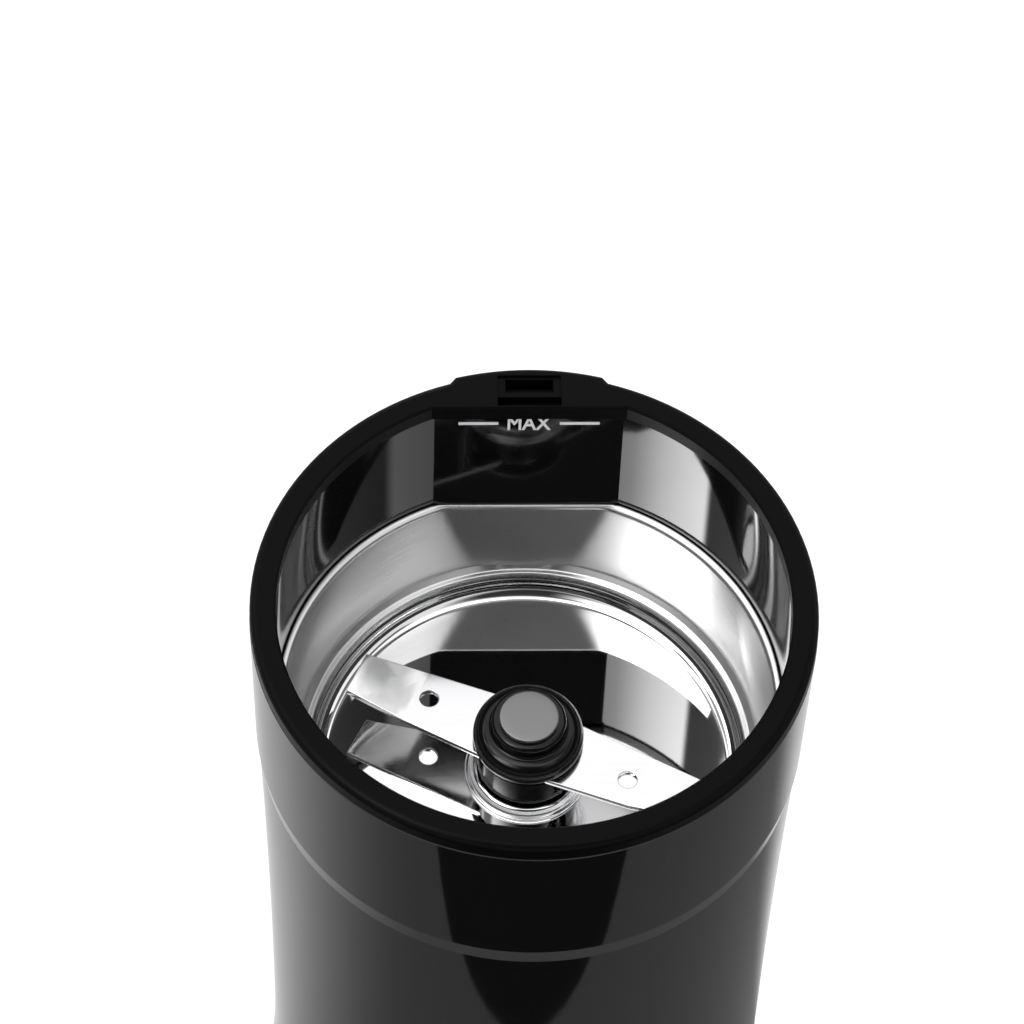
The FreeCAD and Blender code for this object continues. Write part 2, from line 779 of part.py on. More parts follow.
bend_share = (d.blade_shoulder_distance - d.blade_root_distance) / (blade_length - d.blade_root_distance)
bend_back = d.blade_root_half_width - (d.blade_root_half_width - d.blade_rear_width) * bend_share
bend_front = d.blade_root_half_width - (d.blade_root_half_width - d.blade_front_width) * bend_share
wing = blade.newObject("PartDesign::AdditiveLoft", "wing")
wing.Profile = wing_section(
    "wing_root", as_size(0), -d.blade_root_half_width, d.blade_root_half_width, 0, 0
)
front_tip_lift = d.blade_tip_lift + d.blade_edge_lift
wing.Sections = [
    wing_section("wing_bend", d.blade_shoulder_distance, -bend_front, bend_back, 0, 0),
    wing_section(
        "wing_tip", blade_length, -d.blade_front_width, d.blade_rear_width, front_tip_lift, d.blade_tip_lift
    ),
]
wing.Ruled = True
doc.recompute()
hole_plan = ring_outline(
    new_sketch(blade, "wing_hole_plan", lift=blade_top), d.blade_hole_radius, d.blade_hole_distance, 0
)
wing_hole = cut_pocket(blade, hole_plan, d.blade_thickness)
patterned(blade, [wing, wing_hole], 2)
shaft_hole = ring_outline(new_sketch(blade, "blade_shaft_plan", lift=blade_top), d.shaft_radius)
cut_pocket(blade, shaft_hole, d.blade_thickness)
blade.Placement = FreeCAD.Placement(FreeCAD.Vector(0, 0, 0), FreeCAD.Rotation(FreeCAD.Vector(0, 0, 1), 1))
bind(blade, "Placement.Rotation.Angle", d.blade_turn)
keep(blade, "blade")

collar_bottom = blade_bottom - d.collar_length
keep(
    turned("blade_collar", tube_points(d.shaft_radius, d.collar_radius, collar_bottom, blade_bottom)),
    "blade_collar",
)
cap_top = blade_top + d.cap_height
neck_top = cap_top + d.neck_height
cap_section = [
    (d.shaft_radius, blade_top),
    (d.cap_radius, blade_top),
    (d.cap_radius, cap_top - d.cap_round),
    (d.cap_radius - d.cap_round, cap_top),
    (d.neck_radius, cap_top),
    (d.neck_radius, neck_top),
    (d.shaft_radius, neck_top),
]
keep(turned("blade_cap", cap_section), "blade_cap")
disc_section = [
    (0, neck_top),
    (d.hub_disc_radius, neck_top),
    (d.hub_disc_radius, neck_top + d.hub_disc_height),
    (0, neck_top + d.hub_disc_height),
]
keep(turned("hub_disc", disc_section), "hub_disc")
shaft_section = [
    (0, shaft_bottom), (d.shaft_radius, shaft_bottom), (d.shaft_radius, neck_top), (0, neck_top)
]
keep(turned("motor_shaft", shaft_section), "motor_shaft")

# Armature: slotted core, winding, commutator and fan, all pressed on the shaft
core_top = core_bottom + core_height
core = turned("armature_core", tube_points(d.shaft_radius, d.core_radius, core_bottom, core_top))
slot_plan = new_sketch(core, "core_slot_plan", lift=core_top)
core_slot_half = d.core_slot_width / 2
rectangle(
    slot_plan, d.core_radius - d.core_slot_depth, d.core_radius + d.air_gap, -core_slot_half, core_slot_half
)
core_slot = cut_pocket(core, slot_plan)
patterned(core, [core_slot], d.core_slot_count)
keep(core, "armature_core")

winding_low = tube_points(
    d.winding_hub_radius, d.winding_radius, core_bottom - d.winding_overhang, core_bottom
)
winding_high = tube_points(d.winding_hub_radius, d.winding_radius, core_top, core_top + d.winding_overhang)
winding = turned("armature_winding", winding_low, "low")
turn(winding, outline(new_sketch(winding, "winding_high", "XZ_Plane"), winding_high))
bar_plan = new_sketch(winding, "bar_plan", lift=core_bottom)
bar_half = core_slot_half - d.seat_gap
rectangle(bar_plan, d.core_radius - d.core_slot_depth + d.seat_gap, d.winding_radius, -bar_half, bar_half)
bar = add_pad(winding, bar_plan, core_height)
patterned(winding, [bar], d.core_slot_count)
keep(winding, "armature_winding")

commutator_section = [
    (d.shaft_radius, commutator_bottom),
    (d.commutator_radius, commutator_bottom),
    (d.commutator_radius, commutator_top - d.riser_height),
    (d.riser_radius, commutator_top - d.riser_height),
    (d.riser_radius, commutator_top),
    (d.shaft_radius, commutator_top),
]
keep(turned("commutator", commutator_section), "commutator")

fan = turned(
    "cooling_fan", tube_points(d.shaft_radius, d.fan_hub_radius, fan_bottom, fan_bottom + d.fan_height)
)
fan_disc = ring_outline(new_sketch(fan, "fan_disc_plan", lift=fan_bottom), fan_radius)
fan_disc = ring_outline(fan_disc, d.shaft_radius)
add_pad(fan, fan_disc, d.fan_disc)
vane_plan = new_sketch(fan, "vane_plan", lift=fan_bottom)
vane_half = d.fan_blade_thickness / 2
rectangle(vane_plan, d.fan_hub_radius - d.fan_disc, fan_radius, -vane_half, vane_half)
vane = add_pad(fan, vane_plan, d.fan_height)
patterned(fan, [vane], d.fan_blade_count)
keep(fan, "cooling_fan")

# Stator: laminated frame with two poles, and a coil round each pole's neck
stator = part_body("stator_stack")
half_x, half_y = d.stator_length / 2, d.stator_width / 2
corner = d.stator_corner / 2
frame_points = [
    (corner - half_x, -half_y),
    (half_x - corner, -half_y),
    (half_x, corner - half_y),
    (half_x, half_y - corner),
    (half_x - corner, half_y),
    (corner - half_x, half_y),
    (-half_x, half_y - corner),
    (-half_x, corner - half_y),
]
add_pad(stator, outline(new_sketch(stator, "stator_plan", lift=core_bottom), frame_points), core_height)
bore_radius = d.core_radius + d.air_gap
cut_pocket(stator, ring_outline(new_sketch(stator, "stator_bore_plan", lift=core_top), bore_radius))
window_outer = half_x - d.yoke_width
window_inner = window_outer - d.coil_width - d.moving_gap
window_plan = new_sketch(stator, "window_plan", lift=core_top)
window_far = d.pole_width / 2 + d.coil_thickness + d.moving_gap
for side_x in (-1, 1):
    for side_y in (-1, 1):
        near_corner = (window_inner * side_x, d.pole_width / 2 * side_y)
        far_corner = (window_outer * side_x, window_far * side_y)
        rectangle(window_plan, near_corner[0], far_corner[0], near_corner[1], far_corner[1])
cut_pocket(stator, window_plan)
screw_hole_radius = d.motor_screw_radius + d.seat_gap
stator_holes = new_sketch(stator, "stator_screw_plan", lift=core_top)
cut_pocket(stator, corner_rings(stator_holes, screw_hole_radius, d.motor_screw_x, d.motor_screw_y))
keep(stator, "stator_stack")

coils = part_body("field_coils")
coil_middle = core_bottom + core_height / 2
coil_out_y = d.pole_width / 2 + d.coil_thickness
coil_out_z = core_height / 2 + d.coil_thickness
coil_in_y = d.pole_width / 2 + d.seat_gap
coil_in_z = core_height / 2 + d.seat_gap
coil_plan = new_sketch(coils, "coil_plan", "YZ_Plane", window_inner + d.seat_gap)
rectangle(coil_plan, -coil_out_y, coil_out_y, coil_middle - coil_out_z, coil_middle + coil_out_z)
rectangle(coil_plan, -coil_in_y, coil_in_y, coil_middle - coil_in_z, coil_middle + coil_in_z)
coil = add_pad(coils, coil_plan, d.coil_width)
mirrored(coils, [coil], "YZ_Plane")
keep(coils, "field_coils")

# Brackets: an upper and a lower cast plate with a bearing cup and four posts that clamp the stator
def bracket(label, plate_bottom, post_bottom, post_height, cup_bottom, cup_height):
    """A round plate with four windows, a cup for the bearing and posts for the motor screws."""
    body = part_body(label)
    plate = new_sketch(body, label + "_plate", lift=plate_bottom)
    add_pad(body, ring_outline(plate, bracket_radius), d.bracket_plate)
    posts = new_sketch(body, label + "_posts", lift=post_bottom)
    add_pad(body, corner_rings(posts, d.bracket_post_radius, d.motor_screw_x, d.motor_screw_y), post_height)
    cup = new_sketch(body, label + "_cup", lift=cup_bottom)
    add_pad(body, ring_outline(cup, d.bearing_radius + d.bracket_cup_wall), cup_height)
    windows = new_sketch(body, label + "_windows", lift=plate_bottom + d.bracket_plate)
    half = d.window_width / 2
    reach = mount_circle - d.mount_radius - d.bracket_plate
    for side in (-1, 1):
        rectangle(windows, (d.bearing_radius + d.yoke_width) * side, reach * side, -half, half)
    cut_pocket(body, windows, d.bracket_plate)
    holes = new_sketch(body, label + "_holes", lift=post_bottom + post_height)
    cut_pocket(body, corner_rings(holes, screw_hole_radius, d.motor_screw_x, d.motor_screw_y))
    return body


upper = bracket(
    "upper_bracket", upper_plate, core_top,
    upper_plate - core_top + d.bracket_plate, upper_plate, d.bearing_height
)
upper_bore = ring_outline(
    new_sketch(upper, "upper_bore", lift=upper_plate + d.bearing_height), d.bearing_radius
)
cut_pocket(upper, upper_bore, d.bearing_height)
keep(upper, "upper_bracket")

lower_cup = lower_plate + d.bracket_plate - d.bearing_height
lower = bracket(
    "lower_bracket", lower_plate, lower_plate, core_bottom - lower_plate, lower_cup, d.bearing_height
)
lower_bore = ring_outline(
    new_sketch(lower, "lower_bore", lift=lower_plate + d.bracket_plate), d.bearing_radius
)
cut_pocket(lower, lower_bore, d.bearing_height)
keep(lower, "lower_bracket")

bearing_bore = d.shaft_radius + d.running_gap
upper_bearing_points = tube_points(
    bearing_bore, d.bearing_radius, upper_plate, upper_plate + d.bearing_height
)
keep(turned("upper_bearing", upper_bearing_points), "upper_bearing")
lower_bearing_points = tube_points(bearing_bore, d.bearing_radius, lower_cup, lower_plate + d.bracket_plate)
keep(turned("lower_bearing", lower_bearing_points), "lower_bearing")

screws = part_body("motor_screws")
screw_top = upper_plate + d.bracket_plate
shanks = new_sketch(screws, "motor_shank_plan", lift=lower_plate)
add_pad(
    screws,
    corner_rings(shanks, d.motor_screw_radius, d.motor_screw_x, d.motor_screw_y),
    screw_top - lower_plate,
)
heads = new_sketch(screws, "motor_head_plan", lift=screw_top)
add_pad(
    screws, corner_rings(heads, d.screw_head_radius, d.motor_screw_x, d.motor_screw_y), d.screw_head_height
)
keep(screws, "motor_screws")

# Rubber mounts: four bushes that hang the motor from the sleeve's floor
mounts = part_body("motor_mounts")
mount_plan = new_sketch(mounts, "mount_plan", lift=screw_top)
for side in (-1, 1):
    ring_outline(mount_plan, d.mount_radius, mount_circle * side, 0)
    ring_outline(mount_plan, d.mount_radius, 0, mount_circle * side)
add_pad(mounts, mount_plan, floor_bottom - screw_top)
keep(mounts, "motor_mounts")

# Brush gear: a holder, a carbon and a spring on each side of the commutator
brush_middle = commutator_bottom + (d.commutator_height - d.riser_height) / 2
brush_bottom = brush_middle - d.brush_height / 2
brush_top = brush_middle + d.brush_height / 2
brush_half = d.brush_width / 2
brush_face = d.commutator_radius + d.seat_gap
brush_end = d.commutator_radius + d.brush_length
spring_end = brush_end + d.brush_spring_length
holder_start = d.riser_radius + d.moving_gap
holder_end = spring_end + d.holder_wall
outer_half = brush_half + d.seat_gap + d.holder_wall

holders = part_body("brush_holders")
holder_foot = new_sketch(holders, "holder_plan", lift=lower_plate + d.bracket_plate)
for side in (-1, 1):
    rectangle(holder_foot, -outer_half, outer_half, holder_start * side, holder_end * side)
holder_height = brush_top + d.seat_gap + d.holder_wall - lower_plate - d.bracket_plate
add_pad(holders, holder_foot, holder_height)
brush_tunnel = new_sketch(holders, "tunnel_plan", lift=brush_top + d.seat_gap)
for side in (-1, 1):
    rectangle(
        brush_tunnel,
        -brush_half - d.seat_gap,
        brush_half + d.seat_gap,
        holder_start * side,
        spring_end * side,
    )
cut_pocket(holders, brush_tunnel, d.brush_height + d.seat_gap)
keep(holders, "brush_holders")

carbons = part_body("carbon_brushes")
carbon_plan = new_sketch(carbons, "carbon_plan", lift=brush_bottom)
for side in (-1, 1):
    rectangle(
        carbon_plan, -brush_half, brush_half, (d.commutator_radius - d.holder_wall) * side, brush_end * side
    )
add_pad(carbons, carbon_plan, d.brush_height)
carbon_face = ring_outline(new_sketch(carbons, "carbon_face_plan", lift=brush_top), brush_face)
cut_pocket(carbons, carbon_face, d.brush_height)
keep(carbons, "carbon_brushes")


def coil_spring(body, sketch, coil_radius, wire, start, length, turns):
    """A square wire wound about the sketch's upright axis."""
    middle = start + wire
    outline(
        sketch,
        [
            (coil_radius - wire, middle),
            (coil_radius, middle - wire),
            (coil_radius + wire, middle),
            (coil_radius, middle + wire),
        ],
    )
    helix = body.newObject("PartDesign::AdditiveHelix", sketch.Name + "_coil")
    helix.Profile = sketch
    helix.ReferenceAxis = (sketch, ["V_Axis"])
    helix.Mode = "height-turns-angle"
    bind(helix, "Height", length - wire * 2)
    bind(helix, "Turns", turns)
    doc.recompute()
    return helix


brush_springs = part_body("brush_springs")
brush_coil = coil_spring(
    brush_springs,
    new_sketch(brush_springs, "brush_wire", lift=brush_middle),
    d.brush_spring_radius,
    d.brush_wire_radius,
    brush_end,
    d.brush_spring_length,
    d.brush_spring_turns,
)
mirrored(brush_springs, [brush_coil], "XZ_Plane")
keep(brush_springs, "brush_springs")

# Interlock: the plunger that the lid pushes down, its spring, and the switch that it closes
plunger_near = slot_near + d.moving_gap
plunger_far = plunger_near + d.plunger_thickness
plunger_top = rim_top - d.plunger_sink
seat_top = sleeve_step + d.spring_seat_height
shoulder = seat_top + d.spring_length
jog_top = rim_top - d.plunger_jog_drop
jog_bottom = jog_top - d.plunger_jog_height
leg_near = sleeve_flat + d.moving_gap
leg_far = leg_near + d.plunger_leg_thickness
head_half = d.press_slot_width / 2 - d.seat_gap
pivot_y = switch_inner + d.pivot_inset
pivot_z = switch_top + d.pivot_height
lever_tip = pivot_z + d.lever_length * sine(d.lever_rise)
leg_foot = lever_tip + d.lever_thickness + d.seat_gap

plunger = part_body("interlock_plunger")
head_plan = new_sketch(plunger, "plunger_head_plan", lift=shoulder)
add_pad(
    plunger, rectangle(head_plan, -head_half, head_half, plunger_near, plunger_far), plunger_top - shoulder
)
leg_section = [
    (plunger_near, shoulder),
    (plunger_near, jog_top),
    (leg_near, jog_bottom),
    (leg_near, leg_foot),
    (leg_far, leg_foot),
    (leg_far, jog_bottom),
    (plunger_far, jog_top),
    (plunger_far, shoulder),
]
leg_plan = outline(new_sketch(plunger, "plunger_leg", "YZ_Plane"), leg_section)
add_pad(plunger, leg_plan, d.plunger_leg_width, both_ways=True)
keep(plunger, "interlock_plunger")

spring = part_body("plunger_spring")
coil_spring(
    spring,
    new_sketch(spring, "plunger_wire", "XZ_Plane"),
    d.spring_radius,
    d.spring_wire_radius,
    as_size(0),
    d.spring_length,
    d.spring_turns,
)
bind(spring, "Placement.Base.x", (leg_half + head_half) / 2)
bind(spring, "Placement.Base.y", (plunger_near + plunger_far) / 2)
bind(spring, "Placement.Base.z", seat_top)
keep(spring, "plunger_spring")

switch = part_body("switch_body")
switch_half = d.switch_width / 2
switch_plan = new_sketch(switch, "switch_plan", lift=switch_bottom)
add_pad(
    switch, rectangle(switch_plan, -switch_half, switch_half, switch_inner, switch_outer), d.switch_height
)
ear_plan = new_sketch(switch, "ear_plan", lift=switch_top)
for side in (-1, 1):
    ear_near = (switch_half - d.ear_thickness) * side
    rectangle(ear_plan, ear_near, switch_half * side, switch_inner, pivot_y + d.pivot_inset)
add_pad(switch, ear_plan, d.pivot_height + d.pivot_inset)
pivot_hole = new_sketch(switch, "pivot_plan", "YZ_Plane")
ring_outline(pivot_hole, d.pivot_radius + d.running_gap, pivot_y, pivot_z)
cut_pocket(switch, pivot_hole, d.switch_width, both_ways=True)
button_y = pivot_y + d.button_offset
button_hole = new_sketch(switch, "button_hole_plan", lift=switch_top)
ring_outline(button_hole, d.button_radius + d.running_gap, 0, button_y)
cut_pocket(switch, button_hole, d.button_root + d.button_travel + d.moving_gap)
keep(switch, "switch_body")

button = part_body("switch_button")
button_plan = new_sketch(button, "button_plan", lift=switch_top - d.button_root)
add_pad(button, ring_outline(button_plan, d.button_radius, 0, button_y), d.button_root + d.button_height)
keep(button, "switch_button")

lever = part_body("switch_lever")
lever_half = d.lever_width / 2
lever_plan = new_sketch(lever, "lever_plan", lift=-d.lever_thickness / 2)
add_pad(
    lever,
    rectangle(lever_plan, -lever_half, lever_half, -d.pivot_radius, d.lever_length),
    d.lever_thickness,
)
pin_plan = ring_outline(new_sketch(lever, "pin_plan", "YZ_Plane"), d.pivot_radius)
add_pad(lever, pin_plan, d.switch_width, both_ways=True)
lever.Placement = FreeCAD.Placement(FreeCAD.Vector(0, 0, 0), FreeCAD.Rotation(FreeCAD.Vector(1, 0, 0), 1))
bind(lever, "Placement.Rotation.Angle", d.lever_rise)
bind(lever, "Placement.Base.y", pivot_y)
bind(lever, "Placement.Base.z", pivot_z)
keep(lever, "switch_lever")

# Switch hanger: a shelf under the switch, carried by two strips that hang from the sleeve's floor
hanger = part_body("switch_hanger")
hanger_near = switch_half + d.seat_gap
hanger_half = hanger_near + d.hanger_width
shelf_plan = new_sketch(hanger, "shelf_plan", lift=switch_bottom - d.shelf_thickness)
rectangle(shelf_plan, -hanger_half, hanger_half, switch_inner, switch_outer)
add_pad(hanger, shelf_plan, d.shelf_thickness)
strip_plan = new_sketch(hanger, "strip_plan", lift=switch_bottom)
for side in (-1, 1):
    rectangle(
        strip_plan, hanger_near * side, hanger_half * side, switch_outer - d.hanger_depth, switch_outer
    )
add_pad(hanger, strip_plan, floor_bottom - switch_bottom)
keep(hanger, "switch_hanger")

# Base: vented plate, its screws, four rubber feet, the cord's inlet and the terminal block behind it
base_plate = part_body("base_plate")
plate_plan = ring_outline(
    new_sketch(base_plate, "base_plan", lift=d.foot_height), base_inner - d.moving_gap
)
add_pad(base_plate, plate_plan, d.base_plate_thickness)
vent_plan = new_sketch(base_plate, "vent_plan", lift=boss_base)
rectangle(vent_plan, d.vent_inner_distance, vent_outer, -d.vent_width / 2, d.vent_width / 2)
patterned(base_plate, [cut_pocket(base_plate, vent_plan)], d.vent_count)
screw_clearance = d.base_screw_radius + d.seat_gap
base_holes = corner_rings(
    new_sketch(base_plate, "base_hole_plan", lift=boss_base), screw_clearance, boss_x, boss_x
)
cut_pocket(base_plate, base_holes)
keep(base_plate, "base_plate")

base_screws = part_body("base_screws")
base_shanks = new_sketch(base_screws, "base_shank_plan", lift=d.foot_height)
corner_rings(base_shanks, d.base_screw_radius, boss_x, boss_x)
add_pad(base_screws, base_shanks, d.base_screw_length)
base_heads = new_sketch(base_screws, "base_head_plan", lift=d.foot_height)
corner_rings(base_heads, d.screw_head_radius, boss_x, boss_x)
add_pad(base_screws, base_heads, d.screw_head_height, downwards=True)
keep(base_screws, "base_screws")

feet = part_body("rubber_feet")
foot = add_pad(
    feet, ring_outline(new_sketch(feet, "foot_plan"), d.foot_radius, foot_circle, 0), d.foot_height
)
patterned(feet, [foot], 4)
keep(feet, "rubber_feet")

inlet_face = base_radius + d.inlet_step
inlet_inner_face = waist_inner - d.moving_gap
inlet_outer = d.inlet_bore_radius + d.inlet_wall
inlet_flange = inlet_outer + d.inlet_flange
grommet = part_body("cord_grommet")
grommet_section = [
    (d.inlet_bore_radius, inlet_inner_face - d.inlet_flange_thickness),
    (inlet_flange, inlet_inner_face - d.inlet_flange_thickness),
    (inlet_flange, inlet_inner_face),
    (inlet_outer, inlet_inner_face),
    (inlet_outer, inlet_face - d.inlet_flange_thickness),
    (inlet_flange, inlet_face - d.inlet_flange_thickness),
    (inlet_flange, inlet_face),
    (d.inlet_bore_radius, inlet_face),
]
turn(grommet, outline(new_sketch(grommet, "grommet_section", lift=d.inlet_height), grommet_section))
keep(grommet, "cord_grommet")

terminal = part_body("terminal_block")
terminal_plan = new_sketch(terminal, "terminal_plan", lift=boss_base)
terminal_half = d.terminal_length / 2
terminal_back = vent_outer + d.terminal_width
rectangle(terminal_plan, -terminal_half, terminal_half, vent_outer, terminal_back)
add_pad(terminal, terminal_plan, d.terminal_height)
keep(terminal, "terminal_block")

broken = [item.Label for item in doc.Objects if {"Invalid", "Error"} & set(item.State)]
broken += [node.Label for node in nodes if node.Shape.isNull() or not node.Shape.isValid()]
if broken:
    raise ValueError("these objects failed: %s" % ", ".join(broken))

os.makedirs("parts", exist_ok=True)
for node in nodes:
    node.Shape.exportStep("parts/%s.step" % node.Label)
    print(node.Label, len(node.Shape.Solids))
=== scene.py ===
import math

import bmesh
import bpy
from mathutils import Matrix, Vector


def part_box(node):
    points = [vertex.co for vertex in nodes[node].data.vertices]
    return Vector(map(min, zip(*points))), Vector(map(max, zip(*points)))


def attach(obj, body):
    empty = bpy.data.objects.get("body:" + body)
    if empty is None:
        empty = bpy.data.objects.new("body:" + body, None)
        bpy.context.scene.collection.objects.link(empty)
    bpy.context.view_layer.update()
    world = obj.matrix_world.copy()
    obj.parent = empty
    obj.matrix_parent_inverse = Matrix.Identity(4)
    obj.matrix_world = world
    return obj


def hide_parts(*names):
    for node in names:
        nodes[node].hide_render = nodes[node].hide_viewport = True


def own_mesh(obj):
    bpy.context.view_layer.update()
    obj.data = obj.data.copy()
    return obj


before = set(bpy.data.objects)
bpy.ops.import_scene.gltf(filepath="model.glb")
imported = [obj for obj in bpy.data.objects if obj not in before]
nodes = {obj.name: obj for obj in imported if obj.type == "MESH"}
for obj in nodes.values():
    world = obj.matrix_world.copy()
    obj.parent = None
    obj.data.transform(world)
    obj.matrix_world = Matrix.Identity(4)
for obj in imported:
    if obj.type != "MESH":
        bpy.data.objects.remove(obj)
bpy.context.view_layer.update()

# Camera
# Stands high in front of the grinder and looks down into the hopper, nearly square to the flat.
# The lens is long, so the rim stays close to a true ellipse.
def placed(name, data):
    """A new object at the origin, with this mesh, curve, lamp or camera."""
    made = bpy.data.objects.new(name, data)
    bpy.context.collection.objects.link(made)
    return made


camera_data = bpy.data.cameras.new("camera")
camera_data.lens = 178.24
camera_data.sensor_width = 36
camera_data.clip_end = 20
camera = placed("camera", camera_data)
camera.location = (-0.026664, -0.43595, 0.835251)
camera.rotation_euler = (0.5949121, -0.022856, -0.0178089)
bpy.context.scene.camera = camera
bpy.context.scene.view_settings.view_transform = "Standard"


# Studio
# A white room with a dark side behind the camera and a bright window panel high on the left.
# The pale floor is what the body's sides mirror; in reflections it shows painted shade and light, dark
# before the grinder and bright behind it.
# A dark card before the grinder, seen only in reflections, is a painted shadow that darkens its front.
class Wire:
    """One socket of a node tree; sums and products of wires add their Math nodes."""

    def __init__(self, tree, socket=None):
        self.tree = tree
        self.socket = socket

    def node(self, kind, settings=None, inputs=None, output=0):
        """Adds a node: its settings first, then the values or links of its sockets."""
        made = self.tree.nodes.new(kind)
        for name, value in (settings or {}).items():
            setattr(made, name, value)
        for key, value in (inputs or {}).items():
            if isinstance(value, Wire):
                self.tree.links.new(value.socket, made.inputs[key])
            else:
                made.inputs[key].default_value = value
        return Wire(self.tree, made.outputs[output] if len(made.outputs) else None)

    def other(self, name):
        """Another output of the same node."""
        return Wire(self.tree, self.socket.node.outputs[name])

    def math(self, operation, first, second=0.0, third=0.0):
        return self.node("ShaderNodeMath", {"operation": operation}, {0: first, 1: second, 2: third})

    def __add__(self, other):
        return self.math("ADD", self, other)

    __radd__ = __add__

    def __sub__(self, other):
        return self.math("SUBTRACT", self, other)

    def __rsub__(self, other):
        return self.math("SUBTRACT", other, self)

    def __mul__(self, other):
        return self.math("MULTIPLY", self, other)

    __rmul__ = __mul__

    def __truediv__(self, other):
        return self.math("DIVIDE", self, other)

    def step(self, start, end):
        """0 below start and 1 above end, with a soft change between."""
        limits = {0: self, 1: start, 2: end, 3: 0.0, 4: 1.0}
        return self.node("ShaderNodeMapRange", {"interpolation_type": "SMOOTHSTEP"}, limits)

    def band(self, start, full, fade, end):
        """1 between full and fade, falling softly to 0 at start and at end."""
        return self.step(start, full) * (1 - self.step(fade, end))

    def blend(self, other, share):
        """This value where share is 0 and the other where it is 1."""
        return self.node("ShaderNodeMix", {"data_type": "FLOAT"}, {0: share, 2: self, 3: other})

    def tint(self, first, second, share):
        """A colour that goes from the first to the second with share."""
        colours = {0: share, 6: (*first, 1), 7: (*second, 1)}
        return self.node("ShaderNodeMix", {"data_type": "RGBA"}, colours, 2)


world = bpy.data.worlds.new("studio")
world.use_nodes = True
world.node_tree.nodes.clear()
room = Wire(world.node_tree)
heading = room.node("ShaderNodeTexCoord")
heading_parts = room.node("ShaderNodeSeparateXYZ", {}, {0: heading})
rays = room.node("ShaderNodeLightPath")


def degrees_round(wire, parts):
    """The direction in plan, in degrees from -X towards +Y."""
    return wire.math("ARCTAN2", parts.other("Y"), parts.other("X") * -1) * (180 / math.pi)


def towards(x, y, z):
    """How nearly the view into the room points this way, from -1 to 1."""
    way = Vector((x, y, z)).normalized()
    return room.node("ShaderNodeVectorMath", {"operation": "DOT_PRODUCT"}, {0: heading, 1: way}, "Value")


azimuth = degrees_round(room, heading_parts)
elevation = room.math("ARCSINE", heading_parts.other("Z")) * (180 / math.pi)
window = azimuth.band(-80, -10, -8, -5) * elevation.band(42, 50, 64, 72)
lens_side = towards(-0.033, -0.545, 0.838).step(0.86, 0.965)
back_top = towards(0.05, 0.55, 0.84).step(0.45, 0.9)
dark_corners = azimuth.band(-6, -4, 50, 65) + azimuth.step(125, 140) + (1 - azimuth.step(-161, -154))
dark_corners = dark_corners * elevation.band(50, 52, 59, 61)
left_glow = azimuth.band(-60, -20, 50, 70) * elevation.step(25, 45)
back_shade = azimuth.band(92, 106, 150, 165) * elevation.band(59, 66, 78, 84)
ceiling = elevation.step(60, 75)
level = (0.95 + 0.35 * back_top + 1.0 * ceiling + 1.2 * left_glow) * (1 - 0.96 * lens_side)
level = level * (1 - 0.85 * dark_corners) * (1 - 0.8 * back_shade) + 6.0 * window
level = level.blend(1.0, rays.other("Is Diffuse Ray")).blend(1.0, rays.other("Is Camera Ray"))
background = room.node("ShaderNodeBackground", {}, {"Color": (1, 1, 1, 1), "Strength": level})
room.node("ShaderNodeOutputWorld", {}, {"Surface": background})
bpy.context.scene.world = world

strip_data = bpy.data.lights.new("strip_lamp", "AREA")
strip_data.shape = "RECTANGLE"
strip_data.size = 0.03
strip_data.size_y = 0.34
strip_data.energy = 0.19
strip_turn, strip_rise, strip_distance = math.radians(25), math.radians(57), 0.9
strip_way = Vector(
    (
        -math.cos(strip_turn) * math.cos(strip_rise),
        math.sin(strip_turn) * math.cos(strip_rise),
        math.sin(strip_rise),
    )
)
strip_lamp = placed("strip_lamp", strip_data)
strip_lamp.location = Vector((0, 0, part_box("hub_disc")[1][2])) + strip_way * strip_distance
strip_lamp.rotation_euler = strip_way.to_track_quat("Z", "Y").to_euler()
strip_lamp.visible_camera = False


def blank_finish(name):
    """A new material with an empty tree."""
    finish = bpy.data.materials.new(name)
    finish.use_nodes = True
    finish.node_tree.nodes.clear()
    return finish, Wire(finish.node_tree)


def flat_card(name, outline, height, finish):
    """A flat sheet at one height, drawn by its outline."""
    mesh = bpy.data.meshes.new(name)
    mesh.from_pydata([(x, y, height) for x, y in outline], [], [tuple(range(len(outline)))])
    mesh.materials.append(finish)
    card = placed(name, mesh)
    return card


def place_parts(wire):
    """The X, Y and Z of the place on the piece."""
    place = wire.node("ShaderNodeTexCoord", output="Object")
    return wire.node("ShaderNodeSeparateXYZ", {}, {0: place})


floor_paint, ground = blank_finish("pale_floor")
around = degrees_round(ground, place_parts(ground))
floor_rays = ground.node("ShaderNodeLightPath")
# Painted shade and light: seen in reflections, the floor is dark in front of the grinder and bright behind
# it.
painted_floor_light = 0.24 + 0.57 * around.band(-50, 22, 145, 168)
painted_floor_reflection = ground.node("ShaderNodeEmission", {}, {"Color": (1, 1, 1, 1), "Strength": painted_floor_light})
matt = ground.node("ShaderNodeBsdfDiffuse", {}, {"Color": (0.86, 0.86, 0.86, 1)})
white = ground.node("ShaderNodeEmission", {}, {"Color": (1, 1, 1, 1), "Strength": 0.86})
shadowed = ground.node("ShaderNodeBsdfDiffuse", {}, {"Color": (0.3, 0.3, 0.3, 1)})
backdrop = ground.node("ShaderNodeAddShader", {}, {0: white, 1: shadowed})
glossy_ray, camera_ray = floor_rays.other("Is Glossy Ray"), floor_rays.other("Is Camera Ray")
seen = ground.node("ShaderNodeMixShader", {}, {0: glossy_ray, 1: matt, 2: painted_floor_reflection})
seen = ground.node("ShaderNodeMixShader", {}, {0: camera_ray, 1: seen, 2: backdrop})
ground.node("ShaderNodeOutputMaterial", {}, {"Surface": seen})
floor_reach, floor_height = 3, -0.0003
floor_corners = [(-floor_reach, -floor_reach), (floor_reach, -floor_reach)]
floor_corners += [(floor_reach, floor_reach), (-floor_reach, floor_reach)]
flat_card("floor", floor_corners, floor_height, floor_paint)
